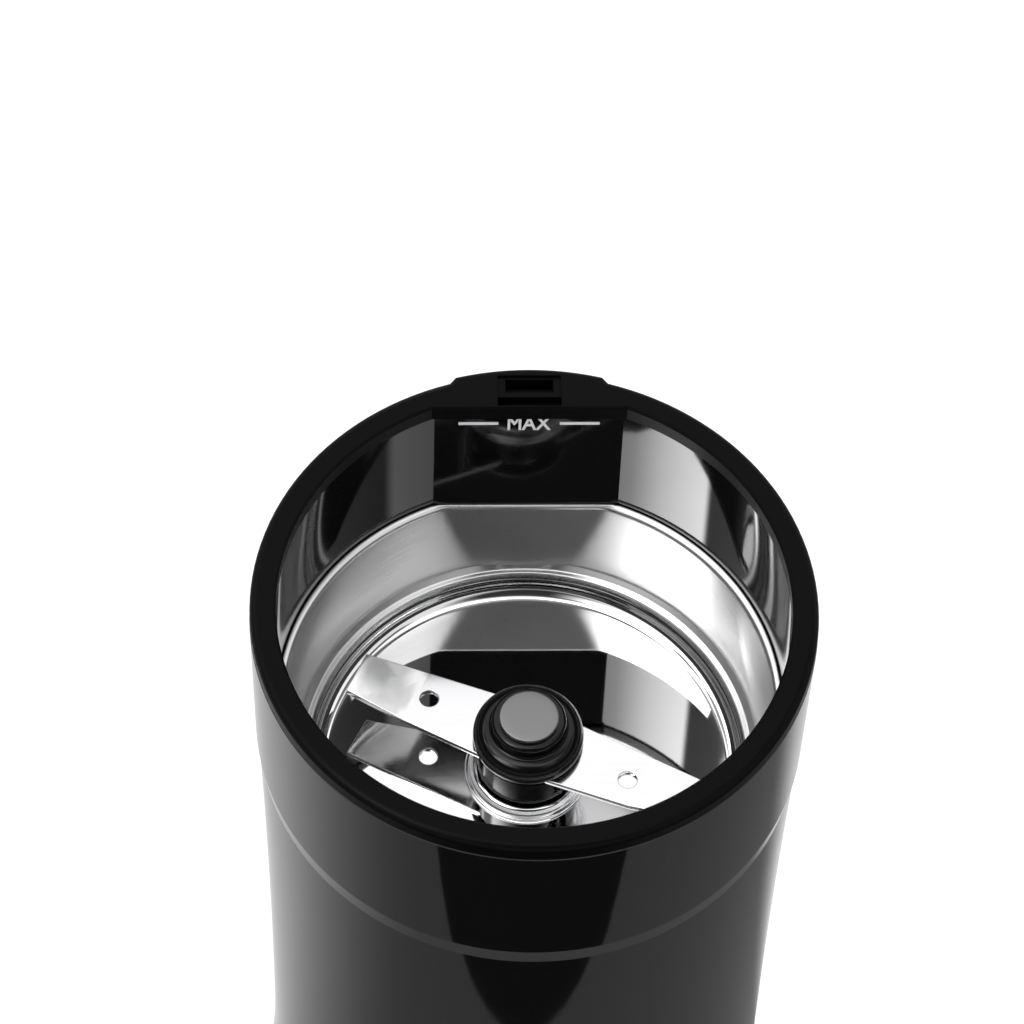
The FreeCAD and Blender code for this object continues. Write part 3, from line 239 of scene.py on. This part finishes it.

# Painted shadow: a dark round card before the grinder, seen only in reflections, darkens the body's front
# as a shadow on the floor would.
shadow_card_finish, shadow_card = blank_finish("painted_shadow_card")
shadow_speckle = shadow_card.node("ShaderNodeTexNoise", {}, {"Scale": 900.0, "Detail": 2.0}, "Fac")
shadow_card_colour = shadow_card.tint((0.003, 0.003, 0.003), (0.006, 0.006, 0.006), shadow_speckle)
shadow_card_matt = shadow_card.node("ShaderNodeBsdfDiffuse", {}, {"Color": shadow_card_colour})
shadow_card.node("ShaderNodeOutputMaterial", {}, {"Surface": shadow_card_matt})
card_radius, card_near, card_height, card_steps = 0.176, -0.093, 0.001, 96
card_middle = card_near - card_radius
card_turns = [2 * math.pi * step / card_steps for step in range(card_steps)]
card_outline = [
    (card_radius * math.cos(turn), card_middle + card_radius * math.sin(turn)) for turn in card_turns
]
front_shadow_card = flat_card("front_shadow_card", card_outline, card_height, shadow_card_finish)
front_shadow_card.visible_camera = False
front_shadow_card.visible_diffuse = False
front_shadow_card.visible_shadow = False


# Base plate with its feet, screws, cord inlet and terminals
# The plate is moulded plastic with a fine skin; four screws pull it up against the posts of the housing.
# Soft rubber feet are pressed into it, and a rubber grommet lines the inlet for a cord.
def surface(wire, sockets):
    """Ends a material in one Principled shader."""
    shader = wire.node("ShaderNodeBsdfPrincipled", {}, sockets)
    wire.node("ShaderNodeOutputMaterial", {}, {"Surface": shader})


def grain(wire, place, scale, detail):
    """Even noise on the piece, from 0 to 1."""
    spots = {"Vector": place, "Scale": scale, "Detail": detail}
    return wire.node("ShaderNodeTexNoise", {}, spots, "Fac")


def moulded(name, colour, roughness, skin_size, skin_depth, specular=0.5):
    """Moulded plastic or rubber: an even skin of small bumps, slightly uneven in colour and gloss."""
    finish, wire = blank_finish(name)
    place = wire.node("ShaderNodeTexCoord", output="Object")
    flow = grain(wire, place, 55.0, 4.0)
    skin = grain(wire, place, 1 / skin_size, 2.0)
    lower = tuple(0.85 * part for part in colour)
    upper = tuple(1.15 * part for part in colour)
    surface(
        wire,
        {
            "Base Color": wire.tint(lower, upper, flow),
            "Roughness": roughness * (0.8 + 0.4 * flow),
            "Specular IOR Level": specular,
            "Normal": wire.node("ShaderNodeBump", {}, {"Distance": skin_depth, "Height": skin}, 0),
        },
    )
    return finish


def dress(finish, *names):
    """Gives CAD nodes this material."""
    for name in names:
        nodes[name].data.materials.clear()
        nodes[name].data.materials.append(finish)


base_plastic = moulded("textured_base_plastic", (0.02, 0.02, 0.021), 0.5, 0.0006, 0.00004)
foot_rubber = moulded("foot_rubber", (0.024, 0.024, 0.024), 0.75, 0.0009, 0.00003, 0.3)
seal_rubber = moulded("seal_rubber", (0.012, 0.012, 0.012), 0.6, 0.0012, 0.00002, 0.3)
terminal_nylon = moulded("terminal_nylon", (0.72, 0.72, 0.67), 0.45, 0.0008, 0.00001)
dress(base_plastic, "base_plate")
dress(seal_rubber, "cord_grommet", "motor_mounts", "bowl_gasket", "shaft_seal")
dress(terminal_nylon, "terminal_block")


def metal(name, colour, roughness, lines, depth, spread=0.3):
    """Bare metal with tool marks; lines makes the marks' noise from the tree and the place."""
    finish, wire = blank_finish(name)
    place = wire.node("ShaderNodeTexCoord", output="Object")
    marks = lines(wire, place)
    lower = tuple(0.93 * part for part in colour)
    surface(
        wire,
        {
            "Base Color": wire.tint(lower, colour, marks),
            "Metallic": 1.0,
            "Roughness": roughness * (1 - spread / 2 + spread * marks),
            "Normal": wire.node("ShaderNodeBump", {}, {"Distance": depth, "Height": marks}, 0),
        },
    )
    return finish


def turned_lines(spacing):
    """Fine rings, as a lathe or a spinning tool leaves them round the upright axis."""

    def lines(wire, place):
        parts = wire.node("ShaderNodeSeparateXYZ", {}, {0: place})
        across, along = parts.other("X"), parts.other("Y")
        radius = wire.math("SQRT", across * across + along * along + 1e-9)
        ring = {"X": across / radius, "Y": along / radius, "Z": radius / spacing}
        place_round = wire.node("ShaderNodeCombineXYZ", {}, ring)
        grain = {"Vector": place_round, "W": parts.other("Z") / spacing, "Scale": 1.0, "Detail": 3.0}
        return wire.node("ShaderNodeTexNoise", {"noise_dimensions": "4D"}, grain, "Fac")

    return lines


def drawn_lines(turn, spacing, length):
    """Straight marks along one direction in plan, given in degrees from +X."""

    def lines(wire, place):
        squeeze = (1 / length, 1 / spacing, 1 / spacing)
        direction = {"Vector": place, "Rotation": (0, 0, -math.radians(turn)), "Scale": squeeze}
        along = wire.node("ShaderNodeMapping", {"vector_type": "POINT"}, direction)
        return grain(wire, along, 1.0, 3.0)

    return lines


def cast_grain(size):
    """An even grain without direction, as on die castings, plating and pressed parts."""

    def lines(wire, place):
        return grain(wire, place, 1 / size, 5.0)

    return lines


zinc_plate = metal("zinc_plated_steel", (0.58, 0.58, 0.6), 0.3, cast_grain(0.0015), 0.000005)
dress(zinc_plate, "motor_screws")


def started_tree(name, inputs):
    """A new tree for a piece: its input node and the identifiers of its named inputs."""
    tree = bpy.data.node_groups.new(name, "GeometryNodeTree")
    sockets = {}
    for label, kind in inputs.items():
        made = tree.interface.new_socket(name=label, in_out="INPUT", socket_type="NodeSocket" + kind)
        sockets[label] = made.identifier
    tree.interface.new_socket(name="Geometry", in_out="OUTPUT", socket_type="NodeSocketGeometry")
    return Wire(tree).node("NodeGroupInput"), sockets


def ended_tree(given, shape):
    """Ends a piece's tree with real geometry in the piece's material."""
    shape = given.node("GeometryNodeRealizeInstances", {}, {"Geometry": shape})
    finished = {"Geometry": shape, "Material": given.other("Material")}
    shape = given.node("GeometryNodeSetMaterial", {}, finished)
    given.node("NodeGroupOutput", {}, {"Geometry": shape})
    return given.tree


def driven(piece, name, tree, sockets, values):
    """Puts the tree on the piece as a modifier, with these values in its named inputs."""
    modifier = piece.modifiers.new(name, "NODES")
    modifier.node_group = tree
    for label, value in values.items():
        modifier[sockets[label]] = value


def evaluated_mesh(piece):
    """What the piece's modifiers make of it, as a plain mesh."""
    bpy.context.view_layer.update()
    return bpy.data.meshes.new_from_object(piece.evaluated_get(bpy.context.evaluated_depsgraph_get()))


def turned_tree():
    """The tree that turns a profile round the upright axis and presses a flat into its back."""
    inputs = {
        "Geometry": "Geometry",
        "Steps": "Int",
        "Flat distance": "Float",
        "Flat softness": "Float",
        "Lip radius": "Float",
        "Material": "Material",
    }
    given, sockets = started_tree("turned_piece", inputs)
    profile, steps = given.other("Geometry"), given.other("Steps")
    count = given.node("GeometryNodeAttributeDomainSize", {}, {"Geometry": profile}, "Point Count")
    grid = given.node("GeometryNodeMeshGrid", {}, {"Vertices X": steps + 1, "Vertices Y": count}, "Mesh")
    index = given.node("GeometryNodeInputIndex")
    ring = given.math("FLOOR", (index + 0.5) / count)
    row = index - ring * count
    sampled = given.node(
        "GeometryNodeSampleIndex",
        {"data_type": "FLOAT_VECTOR"},
        {"Geometry": profile, "Value": given.node("GeometryNodeInputPosition"), "Index": row},
    )
    swung = given.node(
        "ShaderNodeVectorRotate",
        {"rotation_type": "Z_AXIS"},
        {"Vector": sampled, "Angle": ring * (2 * math.pi) / steps},
    )
    parts = given.node("ShaderNodeSeparateXYZ", {}, {0: swung})
    out = given.node("ShaderNodeSeparateXYZ", {}, {0: sampled}).other("X")
    lip_reach = given.math("MAXIMUM", out - given.other("Lip radius"), 0.0) * 0.5
    flat_limit = given.other("Flat distance") + lip_reach
    pressed = given.math("SMOOTH_MIN", parts.other("Y"), flat_limit, given.other("Flat softness"))
    pressed = {"X": parts.other("X"), "Y": pressed, "Z": parts.other("Z")}
    place = given.node("ShaderNodeCombineXYZ", {}, pressed)
    shape = given.node("GeometryNodeSetPosition", {}, {"Geometry": grid, "Position": place})
    shape = given.node("GeometryNodeMergeByDistance", {}, {"Geometry": shape, "Distance": 0.000001})
    shape = given.node("GeometryNodeSetShadeSmooth", {}, {"Geometry": shape, "Shade Smooth": True})
    return ended_tree(given, shape), sockets


turning, turning_sockets = turned_tree()


def rounded_profile(corners, pieces=6, longest=1.2):
    """The profile through these corners (radius, height, rounding), in millimetres, in short steps."""
    points = []
    for number, (out, up, rounding) in enumerate(corners):
        here = Vector((out, up))
        if not rounding:
            points.append(here)
            continue
        before = (Vector(corners[number - 1][:2]) - here).normalized()
        after = (Vector(corners[number + 1][:2]) - here).normalized()
        half = before.angle(after) / 2
        centre = here + (before + after).normalized() * rounding / math.sin(half)
        start = here + before * rounding / math.tan(half) - centre
        end = here + after * rounding / math.tan(half) - centre
        for piece in range(pieces + 1):
            points.append(centre + start.lerp(end, piece / pieces).normalized() * rounding)
    stepped = points[:1]
    for point in points[1:]:
        last = stepped[-1]
        count = math.ceil((point - last).length / longest)
        stepped += [last.lerp(point, (step + 1) / count) for step in range(count)]
    return stepped


def turned(name, corners, finish, steps=128, flat=1.0, softness=0.0, lip=1.0, sheet=0.0):
    """A piece turned from its profile; sheet is the thickness added behind an open profile."""
    points = rounded_profile(corners)
    mesh = bpy.data.meshes.new(name)
    edges = [(number, number + 1) for number in range(len(points) - 1)]
    mesh.from_pydata([(out * 0.001, 0, up * 0.001) for out, up in points], edges, [])
    blank = placed(name + "_profile", mesh)
    lathe = {"Steps": steps, "Flat distance": flat, "Flat softness": softness, "Lip radius": lip}
    driven(blank, "turning", turning, turning_sockets, {**lathe, "Material": finish})
    if sheet:
        wall = blank.modifiers.new("sheet", "SOLIDIFY")
        wall.thickness = sheet
    blank.modifiers.new("even_shading", "WEIGHTED_NORMAL")
    shape = evaluated_mesh(blank)
    bpy.data.objects.remove(blank)
    shape.name = name
    return placed(name, shape)


def spacing_tree():
    """The tree that sets copies of a piece evenly round the upright axis, each turned at random."""
    inputs = {
        "Geometry": "Geometry",
        "Count": "Int",
        "Circle radius": "Float",
        "Start angle": "Float",
        "Seed": "Int",
        "Material": "Material",
    }
    given, sockets = started_tree("spaced_round", inputs)
    ring = {"Vertices": given.other("Count"), "Radius": given.other("Circle radius")}
    places = given.node("GeometryNodeMeshCircle", {}, ring)
    start = given.node("ShaderNodeCombineXYZ", {}, {"Z": given.other("Start angle")})
    places = given.node("GeometryNodeTransform", {}, {"Geometry": places, "Rotation": start})
    chance = {2: 0.0, 3: 2 * math.pi, "Seed": given.other("Seed")}
    chance = given.node("FunctionNodeRandomValue", {"data_type": "FLOAT"}, chance, 1)
    twist = given.node("ShaderNodeCombineXYZ", {}, {"Z": chance})
    copies = {"Points": places, "Instance": given.other("Geometry"), "Rotation": twist}
    shape = given.node("GeometryNodeInstanceOnPoints", {}, copies)
    return ended_tree(given, shape), sockets


spacing, spacing_sockets = spacing_tree()
turn_seed = 7


def spaced_round(piece, count, circle, start, finish):
    """Copies a piece round the upright axis, on a circle in metres, from a start angle in degrees."""
    ring = {"Count": count, "Circle radius": circle, "Start angle": math.radians(start)}
    driven(piece, "spacing", spacing, spacing_sockets, {**ring, "Seed": turn_seed, "Material": finish})
    shape = evaluated_mesh(piece)
    piece.modifiers.clear()
    piece.data = shape


foot_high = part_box("rubber_feet")[1]
foot_radius, foot_height = 5.5, foot_high[2] * 1000
foot_circle = foot_high[0] - foot_radius * 0.001
foot_corners = [
    (0, 0.5, 0),
    (2.6, 0.5, 0.3),
    (3.2, 0, 0.3),
    (foot_radius, 0, 0.7),
    (foot_radius, foot_height, 0),
    (0, foot_height, 0),
]
pressed_feet = turned("pressed_feet", foot_corners, foot_rubber, 48)
spaced_round(pressed_feet, 4, foot_circle, 0, foot_rubber)
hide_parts("rubber_feet")
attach(pressed_feet, "housing")

screw_low, screw_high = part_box("base_screws")
head_radius, head_height, shank_radius = 2.8, 1.8, 1.4
screw_circle = math.sqrt(2) * (screw_high[0] - head_radius * 0.001)
head_face, screw_tip = screw_low[2] * 1000, screw_high[2] * 1000
screw_corners = [
    (0, head_face, 0),
    (head_radius, head_face, 1.0),
    (head_radius, head_face + head_height, 0),
    (shank_radius, head_face + head_height, 0),
    (shank_radius, screw_tip - 0.8, 0),
    (0, screw_tip, 0),
]
cross_screws = turned("cross_screws", screw_corners, zinc_plate, 48)
recess_length, recess_width, recess_depth, recess_taper = 3.0, 0.7, 1.0, 0.55
cutters = []
for reach_x, reach_y in ((recess_length, recess_width), (recess_width, recess_length)):
    cutter_mesh = bpy.data.meshes.new("recess")
    wedge = bmesh.new()
    for corner in bmesh.ops.create_cube(wedge, size=1)["verts"]:
        taper = recess_taper if corner.co.z > 0 else 1.0
        corner.co.x *= reach_x * taper * 0.001
        corner.co.y *= reach_y * taper * 0.001
        corner.co.z = (head_face + corner.co.z * 2 * recess_depth) * 0.001
    wedge.to_mesh(cutter_mesh)
    wedge.free()
    cutter = placed("recess", cutter_mesh)
    cutters.append(cutter)
    slot_cut = cross_screws.modifiers.new("cross_recess", "BOOLEAN")
    slot_cut.object = cutter
    slot_cut.solver = "EXACT"
spaced_round(cross_screws, 4, screw_circle, 45, zinc_plate)
for cutter in cutters:
    bpy.data.objects.remove(cutter)
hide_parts("base_screws")
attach(cross_screws, "housing")

# Motor
# A series motor on rubber mounts: two die-cast brackets hold a stack of sheet steel and its windings.
# The shaft carries armature, commutator and nylon fan, and runs in bronze bearings between carbon brushes.
cast_alloy = metal("die_cast_alloy", (0.6, 0.6, 0.62), 0.42, cast_grain(0.0012), 0.00002)
ground_steel = metal("ground_shaft_steel", (0.62, 0.62, 0.64), 0.18, turned_lines(0.00025), 0.000002)
bearing_bronze = metal("oiled_bronze", (0.6, 0.42, 0.22), 0.3, turned_lines(0.0004), 0.000004)
holder_brass = metal("pressed_brass", (0.74, 0.58, 0.28), 0.25, cast_grain(0.002), 0.000004)
spring_wire = metal("bright_spring_wire", (0.6, 0.6, 0.62), 0.22, cast_grain(0.0008), 0.000003)
dress(cast_alloy, "upper_bracket", "lower_bracket", "switch_hanger")
dress(ground_steel, "motor_shaft")
dress(bearing_bronze, "upper_bearing", "lower_bearing")
dress(holder_brass, "brush_holders")
dress(spring_wire, "brush_springs", "switch_lever")

sheet_thickness = 0.0005
lamination, sheets = blank_finish("stacked_sheet_steel")
sheet_height = place_parts(sheets).other("Z")
sheet_ripple = sheets.math("PINGPONG", sheet_height, sheet_thickness / 2) / (sheet_thickness / 2)
surface(
    sheets,
    {
        "Base Color": sheets.tint((0.16, 0.15, 0.15), (0.4, 0.4, 0.42), sheet_ripple.step(0.1, 0.5)),
        "Metallic": 1.0,
        "Roughness": 0.5 - 0.15 * sheet_ripple,
        "Normal": sheets.node("ShaderNodeBump", {}, {"Distance": 0.00005, "Height": sheet_ripple}, 0),
    },
)
dress(lamination, "stator_stack", "armature_core")

wire_pitch = 0.0004
copper, strands = blank_finish("enamelled_copper_wire")
strand_parts = place_parts(strands)
lay = strand_parts.other("X") + strand_parts.other("Y") * 0.8 + strand_parts.other("Z") * 0.6
strand = strands.math("PINGPONG", lay, wire_pitch / 2) / (wire_pitch / 2)
# The colour darkens in the grooves between the wires: painted shade.
surface(
    strands,
    {
        "Base Color": strands.tint((0.3, 0.09, 0.03), (0.78, 0.36, 0.16), strand.step(0.05, 0.6)),
        "Metallic": 0.9,
        "Roughness": 0.4 - 0.12 * strand,
        "Normal": strands.node("ShaderNodeBump", {}, {"Distance": 0.0001, "Height": strand}, 0),
    },
)
dress(copper, "field_coils", "armature_winding")

bar_count = 24
commutator_copper, bars = blank_finish("commutator_bars")
half_bar = 180 / bar_count
bar_share = bars.math("PINGPONG", degrees_round(bars, place_parts(bars)), half_bar) / half_bar
bar_edge = {"Distance": 0.0002, "Height": bar_share.step(0.05, 0.15)}
surface(
    bars,
    {
        "Base Color": bars.tint((0.03, 0.025, 0.02), (0.75, 0.4, 0.24), bar_share.step(0.08, 0.14)),
        "Metallic": bar_share.step(0.08, 0.14),
        "Roughness": 0.5 - 0.25 * bar_share.step(0.08, 0.14),
        "Normal": bars.node("ShaderNodeBump", {}, bar_edge, 0),
    },
)
dress(commutator_copper, "commutator")
dress(moulded("graphite", (0.03, 0.03, 0.033), 0.55, 0.0005, 0.00002), "carbon_brushes")
dress(moulded("natural_nylon", (0.74, 0.74, 0.7), 0.4, 0.001, 0.00001), "cooling_fan")

# Safety switch
# The lid presses a plastic plunger behind the flat; it tips a lever on to the switch's button.
# A coil spring on a seat of the sleeve lifts the plunger again, and gives way as it goes down.
# The switch is a moulded case that hangs from the hopper's floor.
satin_black = moulded("satin_black_plastic", (0.002, 0.002, 0.0021), 0.33, 0.0011, 0.000004, 0.05)
dress(satin_black, "interlock_plunger")
dress(moulded("switch_case_plastic", (0.04, 0.04, 0.045), 0.4, 0.0008, 0.00001), "switch_body")
dress(moulded("red_button_plastic", (0.5, 0.05, 0.035), 0.35, 0.001, 0.00001), "switch_button")


def coil_tree():
    """The tree of a coil spring: round wire wound on a helix that stands on its seat."""
    inputs = {
        "Geometry": "Geometry",
        "Coil radius": "Float",
        "Wire radius": "Float",
        "Rise": "Float",
        "Turns": "Float",
        "Seat": "Vector",
        "Material": "Material",
    }
    given, sockets = started_tree("coil_spring", inputs)
    coil_radius = given.other("Coil radius")
    winding = {
        "Resolution": 32,
        "Rotations": given.other("Turns"),
        "Start Radius": coil_radius,
        "End Radius": coil_radius,
        "Height": given.other("Rise"),
    }
    helix = given.node("GeometryNodeCurveSpiral", {}, winding)
    section = {"Resolution": 12, "Radius": given.other("Wire radius")}
    section = given.node("GeometryNodeCurvePrimitiveCircle", {}, section)
    swept = {"Curve": helix, "Profile Curve": section, "Fill Caps": True}
    shape = given.node("GeometryNodeCurveToMesh", {}, swept)
    seated = {"Geometry": shape, "Translation": given.other("Seat")}
    return ended_tree(given, given.node("GeometryNodeTransform", {}, seated)), sockets


coil_low, coil_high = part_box("plunger_spring")
wire_radius, plunger_travel, coil_turns = 0.00022, 0.0035, 6.0
wire_rise = 1.2 * wire_radius
coil_middle = (coil_low + coil_high) / 2
coil_height = coil_high[2] - coil_low[2]
coil_group, coil_sockets = coil_tree()
coil_inputs = {
    "Coil radius": (coil_high[0] - coil_low[0]) / 2 - wire_radius,
    "Wire radius": wire_radius,
    "Rise": coil_height - 2 * wire_rise,
    "Turns": coil_turns,
    "Seat": (coil_middle[0], coil_middle[1], coil_low[2] + wire_rise),
    "Material": spring_wire,
}
coiled_spring = placed("coiled_spring", bpy.data.meshes.new("coiled_spring"))
driven(coiled_spring, "coil", coil_group, coil_sockets, coil_inputs)
coil_shape = evaluated_mesh(coiled_spring)
coiled_spring.modifiers.clear()
coiled_spring.data = coil_shape
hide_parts("plunger_spring")
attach(coiled_spring, "interlock")
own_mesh(coiled_spring)

# Outer shells and hopper sleeve
# Polished black plastic: the long motor housing, the collar above its seam, and the sleeve inside.
# The mould is mirror finished, so only a faint orange peel and some dust break the reflections.
polished_black, polish = blank_finish("polished_black_plastic")
polish_place = polish.node("ShaderNodeTexCoord", output="Object")
peel = grain(polish, polish_place, 260.0, 1.0)
dust = grain(polish, polish_place, 2600.0, 1.0).step(0.77, 0.82)
handling = grain(polish, polish_place, 32.0, 4.0)
surface(
    polish,
    {
        "Base Color": polish.tint((0.004, 0.004, 0.0045), (0.02, 0.02, 0.02), dust),
        "Roughness": 0.035 + 0.03 * handling + 0.2 * dust,
        "Normal": polish.node("ShaderNodeBump", {}, {"Distance": 0.0000015, "Height": peel}, 0),
    },
)
dress(polished_black, "motor_housing", "collar_shell", "hopper_sleeve")

# Rim ring
# One satin black moulding that closes the top: a flat ring with soft edges and the tab at the back.
# The lid's two lugs drop into the slots of the tab.
dress(satin_black, "rim_ring")

# Fill mark
# Pad-printed white letters between two lines, high on the flat of the hopper.
# They say how far the hopper may be filled.
print_white, ink = blank_finish("white_print")
ink_patches = grain(ink, ink.node("ShaderNodeTexCoord", output="Object"), 1500.0, 3.0)
surface(
    ink,
    {
        "Base Color": ink.tint((0.92, 0.92, 0.92), (1.0, 1.0, 1.0), ink_patches),
        "Roughness": 0.45 + 0.2 * ink_patches,
    },
)
rim_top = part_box("rim_ring")[1][2]
flat_y = 0.0381
ink_lift, ink_thickness = 0.00006, 0.00004
letters_top, letters_bottom = rim_top - 0.00296, rim_top - 0.00668
letters_left, letters_right = -0.0035, 0.0036
line_middle, line_height = rim_top - 0.00483, 0.00075
line_start, line_end = 0.0050, 0.0115

letters_data = bpy.data.curves.new("letters", "FONT")
letters_data.body = "MAX"
letters_data.offset = 0.018
letters_data.extrude = 0.5
letters = placed("letters", letters_data)
bpy.context.view_layer.update()
mark_mesh = bpy.data.meshes.new_from_object(letters)
bpy.data.objects.remove(letters)
mark = bmesh.new()
mark.from_mesh(mark_mesh)
left = min(vert.co.x for vert in mark.verts)
right = max(vert.co.x for vert in mark.verts)
low = min(vert.co.y for vert in mark.verts)
high = max(vert.co.y for vert in mark.verts)
for vert in mark.verts:
    across_share = (vert.co.x - left) / (right - left)
    up_share = (vert.co.y - low) / (high - low)
    vert.co = Vector(
        (
            letters_left + (letters_right - letters_left) * across_share,
            flat_y - ink_lift - ink_thickness * vert.co.z,
            letters_bottom + (letters_top - letters_bottom) * up_share,
        )
    )
for side in (-1, 1):
    bar = bmesh.ops.create_cube(mark, size=1)["verts"]
    middle = Vector((side * (line_start + line_end) / 2, flat_y - ink_lift, line_middle))
    reach = (line_end - line_start, ink_thickness, line_height)
    for vert in bar:
        vert.co = middle + Vector([part * size for part, size in zip(vert.co, reach)])
bmesh.ops.recalc_face_normals(mark, faces=mark.faces)
mark.to_mesh(mark_mesh)
mark.free()
mark_mesh.materials.clear()
mark_mesh.materials.append(print_white)
fill_mark = placed("fill_mark", mark_mesh)
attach(fill_mark, "housing")

# Grinding bowl
# Drawn from 0.6 mm stainless sheet, with a lip, a bead above the floor and a flat like the sleeve's.
# The wall is spun to a satin, and the floor is polished to a mirror.
bowl_low, bowl_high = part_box("grinding_bowl")
bowl_sheet = 0.6
bowl_edge = bowl_high[2] * 1000
bowl_floor = bowl_low[2] * 1000 + bowl_sheet
bowl_flat = 0.03745
lip_radius, mouth_radius, wall_foot_radius = 41.05, 39.8, 38.2
bead_top = bowl_edge - 17.2
bead_ledge = bead_top - 1.0
bead_inner = wall_foot_radius - 2.0
boss_hole = 7.5
bowl_corners = [
    (lip_radius - 0.02, bowl_edge, 0),
    (mouth_radius, bowl_edge, 1.1),
    (wall_foot_radius, bead_top, 0.6),
    (wall_foot_radius - 1.0, bead_ledge, 0.5),
    (bead_inner, bead_ledge, 0.4),
    (bead_inner, bowl_floor, 3.0),
    (boss_hole, bowl_floor, 0),
]
spun_steel, spin = blank_finish("spun_bowl_steel")
spin_place = spin.node("ShaderNodeTexCoord", output="Object")
spin_parts = spin.node("ShaderNodeSeparateXYZ", {}, {0: spin_place})
spin_marks = turned_lines(0.00022)(spin, spin_place)
spin_patches = grain(spin, spin_place, 70.0, 3.0)
mirror_end, satin_start = 2.5, 4.2
satin_share = spin_parts.other("Z").step(
    (bowl_floor + mirror_end) * 0.001, (bowl_floor + satin_start) * 0.001
)
spin_bump = {"Distance": 0.0000015, "Height": spin_marks * satin_share}
surface(
    spin,
    {
        "Base Color": spin.tint((0.74, 0.74, 0.74), (0.82, 0.82, 0.82), spin_patches),
        "Metallic": 1.0,
        "Roughness": 0.03 + satin_share * (0.2 + 0.08 * spin_marks + 0.04 * spin_patches),
        "Normal": spin.node("ShaderNodeBump", {}, spin_bump, 0),
    },
)
bowl_steps, flat_softness = 192, 0.0004
bowl_shape = (bowl_steps, bowl_flat, flat_softness, mouth_radius * 0.001, bowl_sheet * 0.001)
spun_bowl = turned("spun_bowl", bowl_corners, spun_steel, *bowl_shape)
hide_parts("grinding_bowl")
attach(spun_bowl, "housing")

# Boss and seal
# A bright turned ring stands round the shaft, with a rubber seal in its bore.
# Its flange clamps the bowl and its spigot goes through the floor.
boss_low, boss_high = (corner[2] * 1000 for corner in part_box("bowl_boss"))
boss_bore, boss_radius, flange_radius, flange_height = 6.5, 9.6, 10.3, 0.7
boss_corners = [
    (boss_bore, boss_low, 0),
    (boss_hole, boss_low, 0),
    (boss_hole, bowl_floor, 0),
    (flange_radius, bowl_floor, 0),
    (flange_radius, bowl_floor + flange_height, 0.3),
    (boss_radius, bowl_floor + flange_height, 0.2),
    (boss_radius, boss_high, 0.9),
    (boss_bore, boss_high, 0.5),
    (boss_bore, boss_low, 0),
]
bright_chrome = metal("bright_chrome", (0.82, 0.82, 0.83), 0.07, turned_lines(0.0003), 0.0000001)
boss_ring = turned("boss_ring", boss_corners, bright_chrome)
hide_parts("bowl_boss")
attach(boss_ring, "housing")

# Blade
# Two wings stamped from 1.2 mm stainless strip, with eased edges, a hole in each and tips that lift.
# It is clamped on the shaft between the collar and the cap.
blade_turn = -26
blade_marks = drawn_lines(blade_turn, 0.0002, 0.012)
blade_steel = metal("polished_blade_steel", (0.8, 0.8, 0.81), 0.12, blade_marks, 0.0000002)
stamped = nodes["blade"].data.copy()
strip = bmesh.new()
strip.from_mesh(stamped)
bmesh.ops.remove_doubles(strip, verts=strip.verts, dist=0.00001)
bmesh.ops.dissolve_limit(strip, angle_limit=math.radians(1), verts=strip.verts, edges=strip.edges)
bmesh.ops.recalc_face_normals(strip, faces=strip.faces)
for face in strip.faces:
    face.smooth = True
strip.to_mesh(stamped)
strip.free()
stamped.materials.clear()
stamped.materials.append(blade_steel)
stamped_blade = placed("stamped_blade", stamped)
easing = stamped_blade.modifiers.new("eased_edges", "BEVEL")
easing.width = 0.00016
easing.segments = 2
easing.angle_limit = math.radians(40)
stamped_blade.modifiers.new("even_shading", "WEIGHTED_NORMAL")
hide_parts("blade")
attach(stamped_blade, "rotor")

# Hub
# A gloss black moulded cap with a round shoulder and a neck nips the blade against the collar below.
# A satin steel disc closes the top.
hub_black = moulded("gloss_hub_plastic", (0.004, 0.004, 0.0045), 0.14, 0.0015, 0.0000005, 0.28)
shaft_radius, cap_radius, neck_radius, disc_radius = 3.0, 9.1, 6.2, 4.9
cap_bottom, neck_top = (corner[2] * 1000 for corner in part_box("blade_cap"))
cap_shoulder = cap_bottom + 3.9
cap_corners = [
    (shaft_radius, cap_bottom, 0),
    (cap_radius, cap_bottom, 0.9),
    (cap_radius, cap_shoulder, 2.2),
    (neck_radius, cap_shoulder, 0.5),
    (neck_radius, neck_top, 0.7),
    (shaft_radius, neck_top, 0),
    (shaft_radius, cap_bottom, 0),
]
hub_cap = turned("hub_cap", cap_corners, hub_black)
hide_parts("blade_cap")
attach(hub_cap, "rotor")
dress(hub_black, "blade_collar")

disc_bottom, disc_top = (corner[2] * 1000 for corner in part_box("hub_disc"))
disc_corners = [
    (0, disc_bottom, 0),
    (disc_radius, disc_bottom, 0),
    (disc_radius, disc_top, 0.25),
    (0, disc_top, 0),
]
disc_steel = metal("satin_disc_steel", (0.24, 0.24, 0.24), 0.45, turned_lines(0.0002), 0.000002)
hub_button = turned("hub_button", disc_corners, disc_steel)
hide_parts("hub_disc")
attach(hub_button, "rotor")
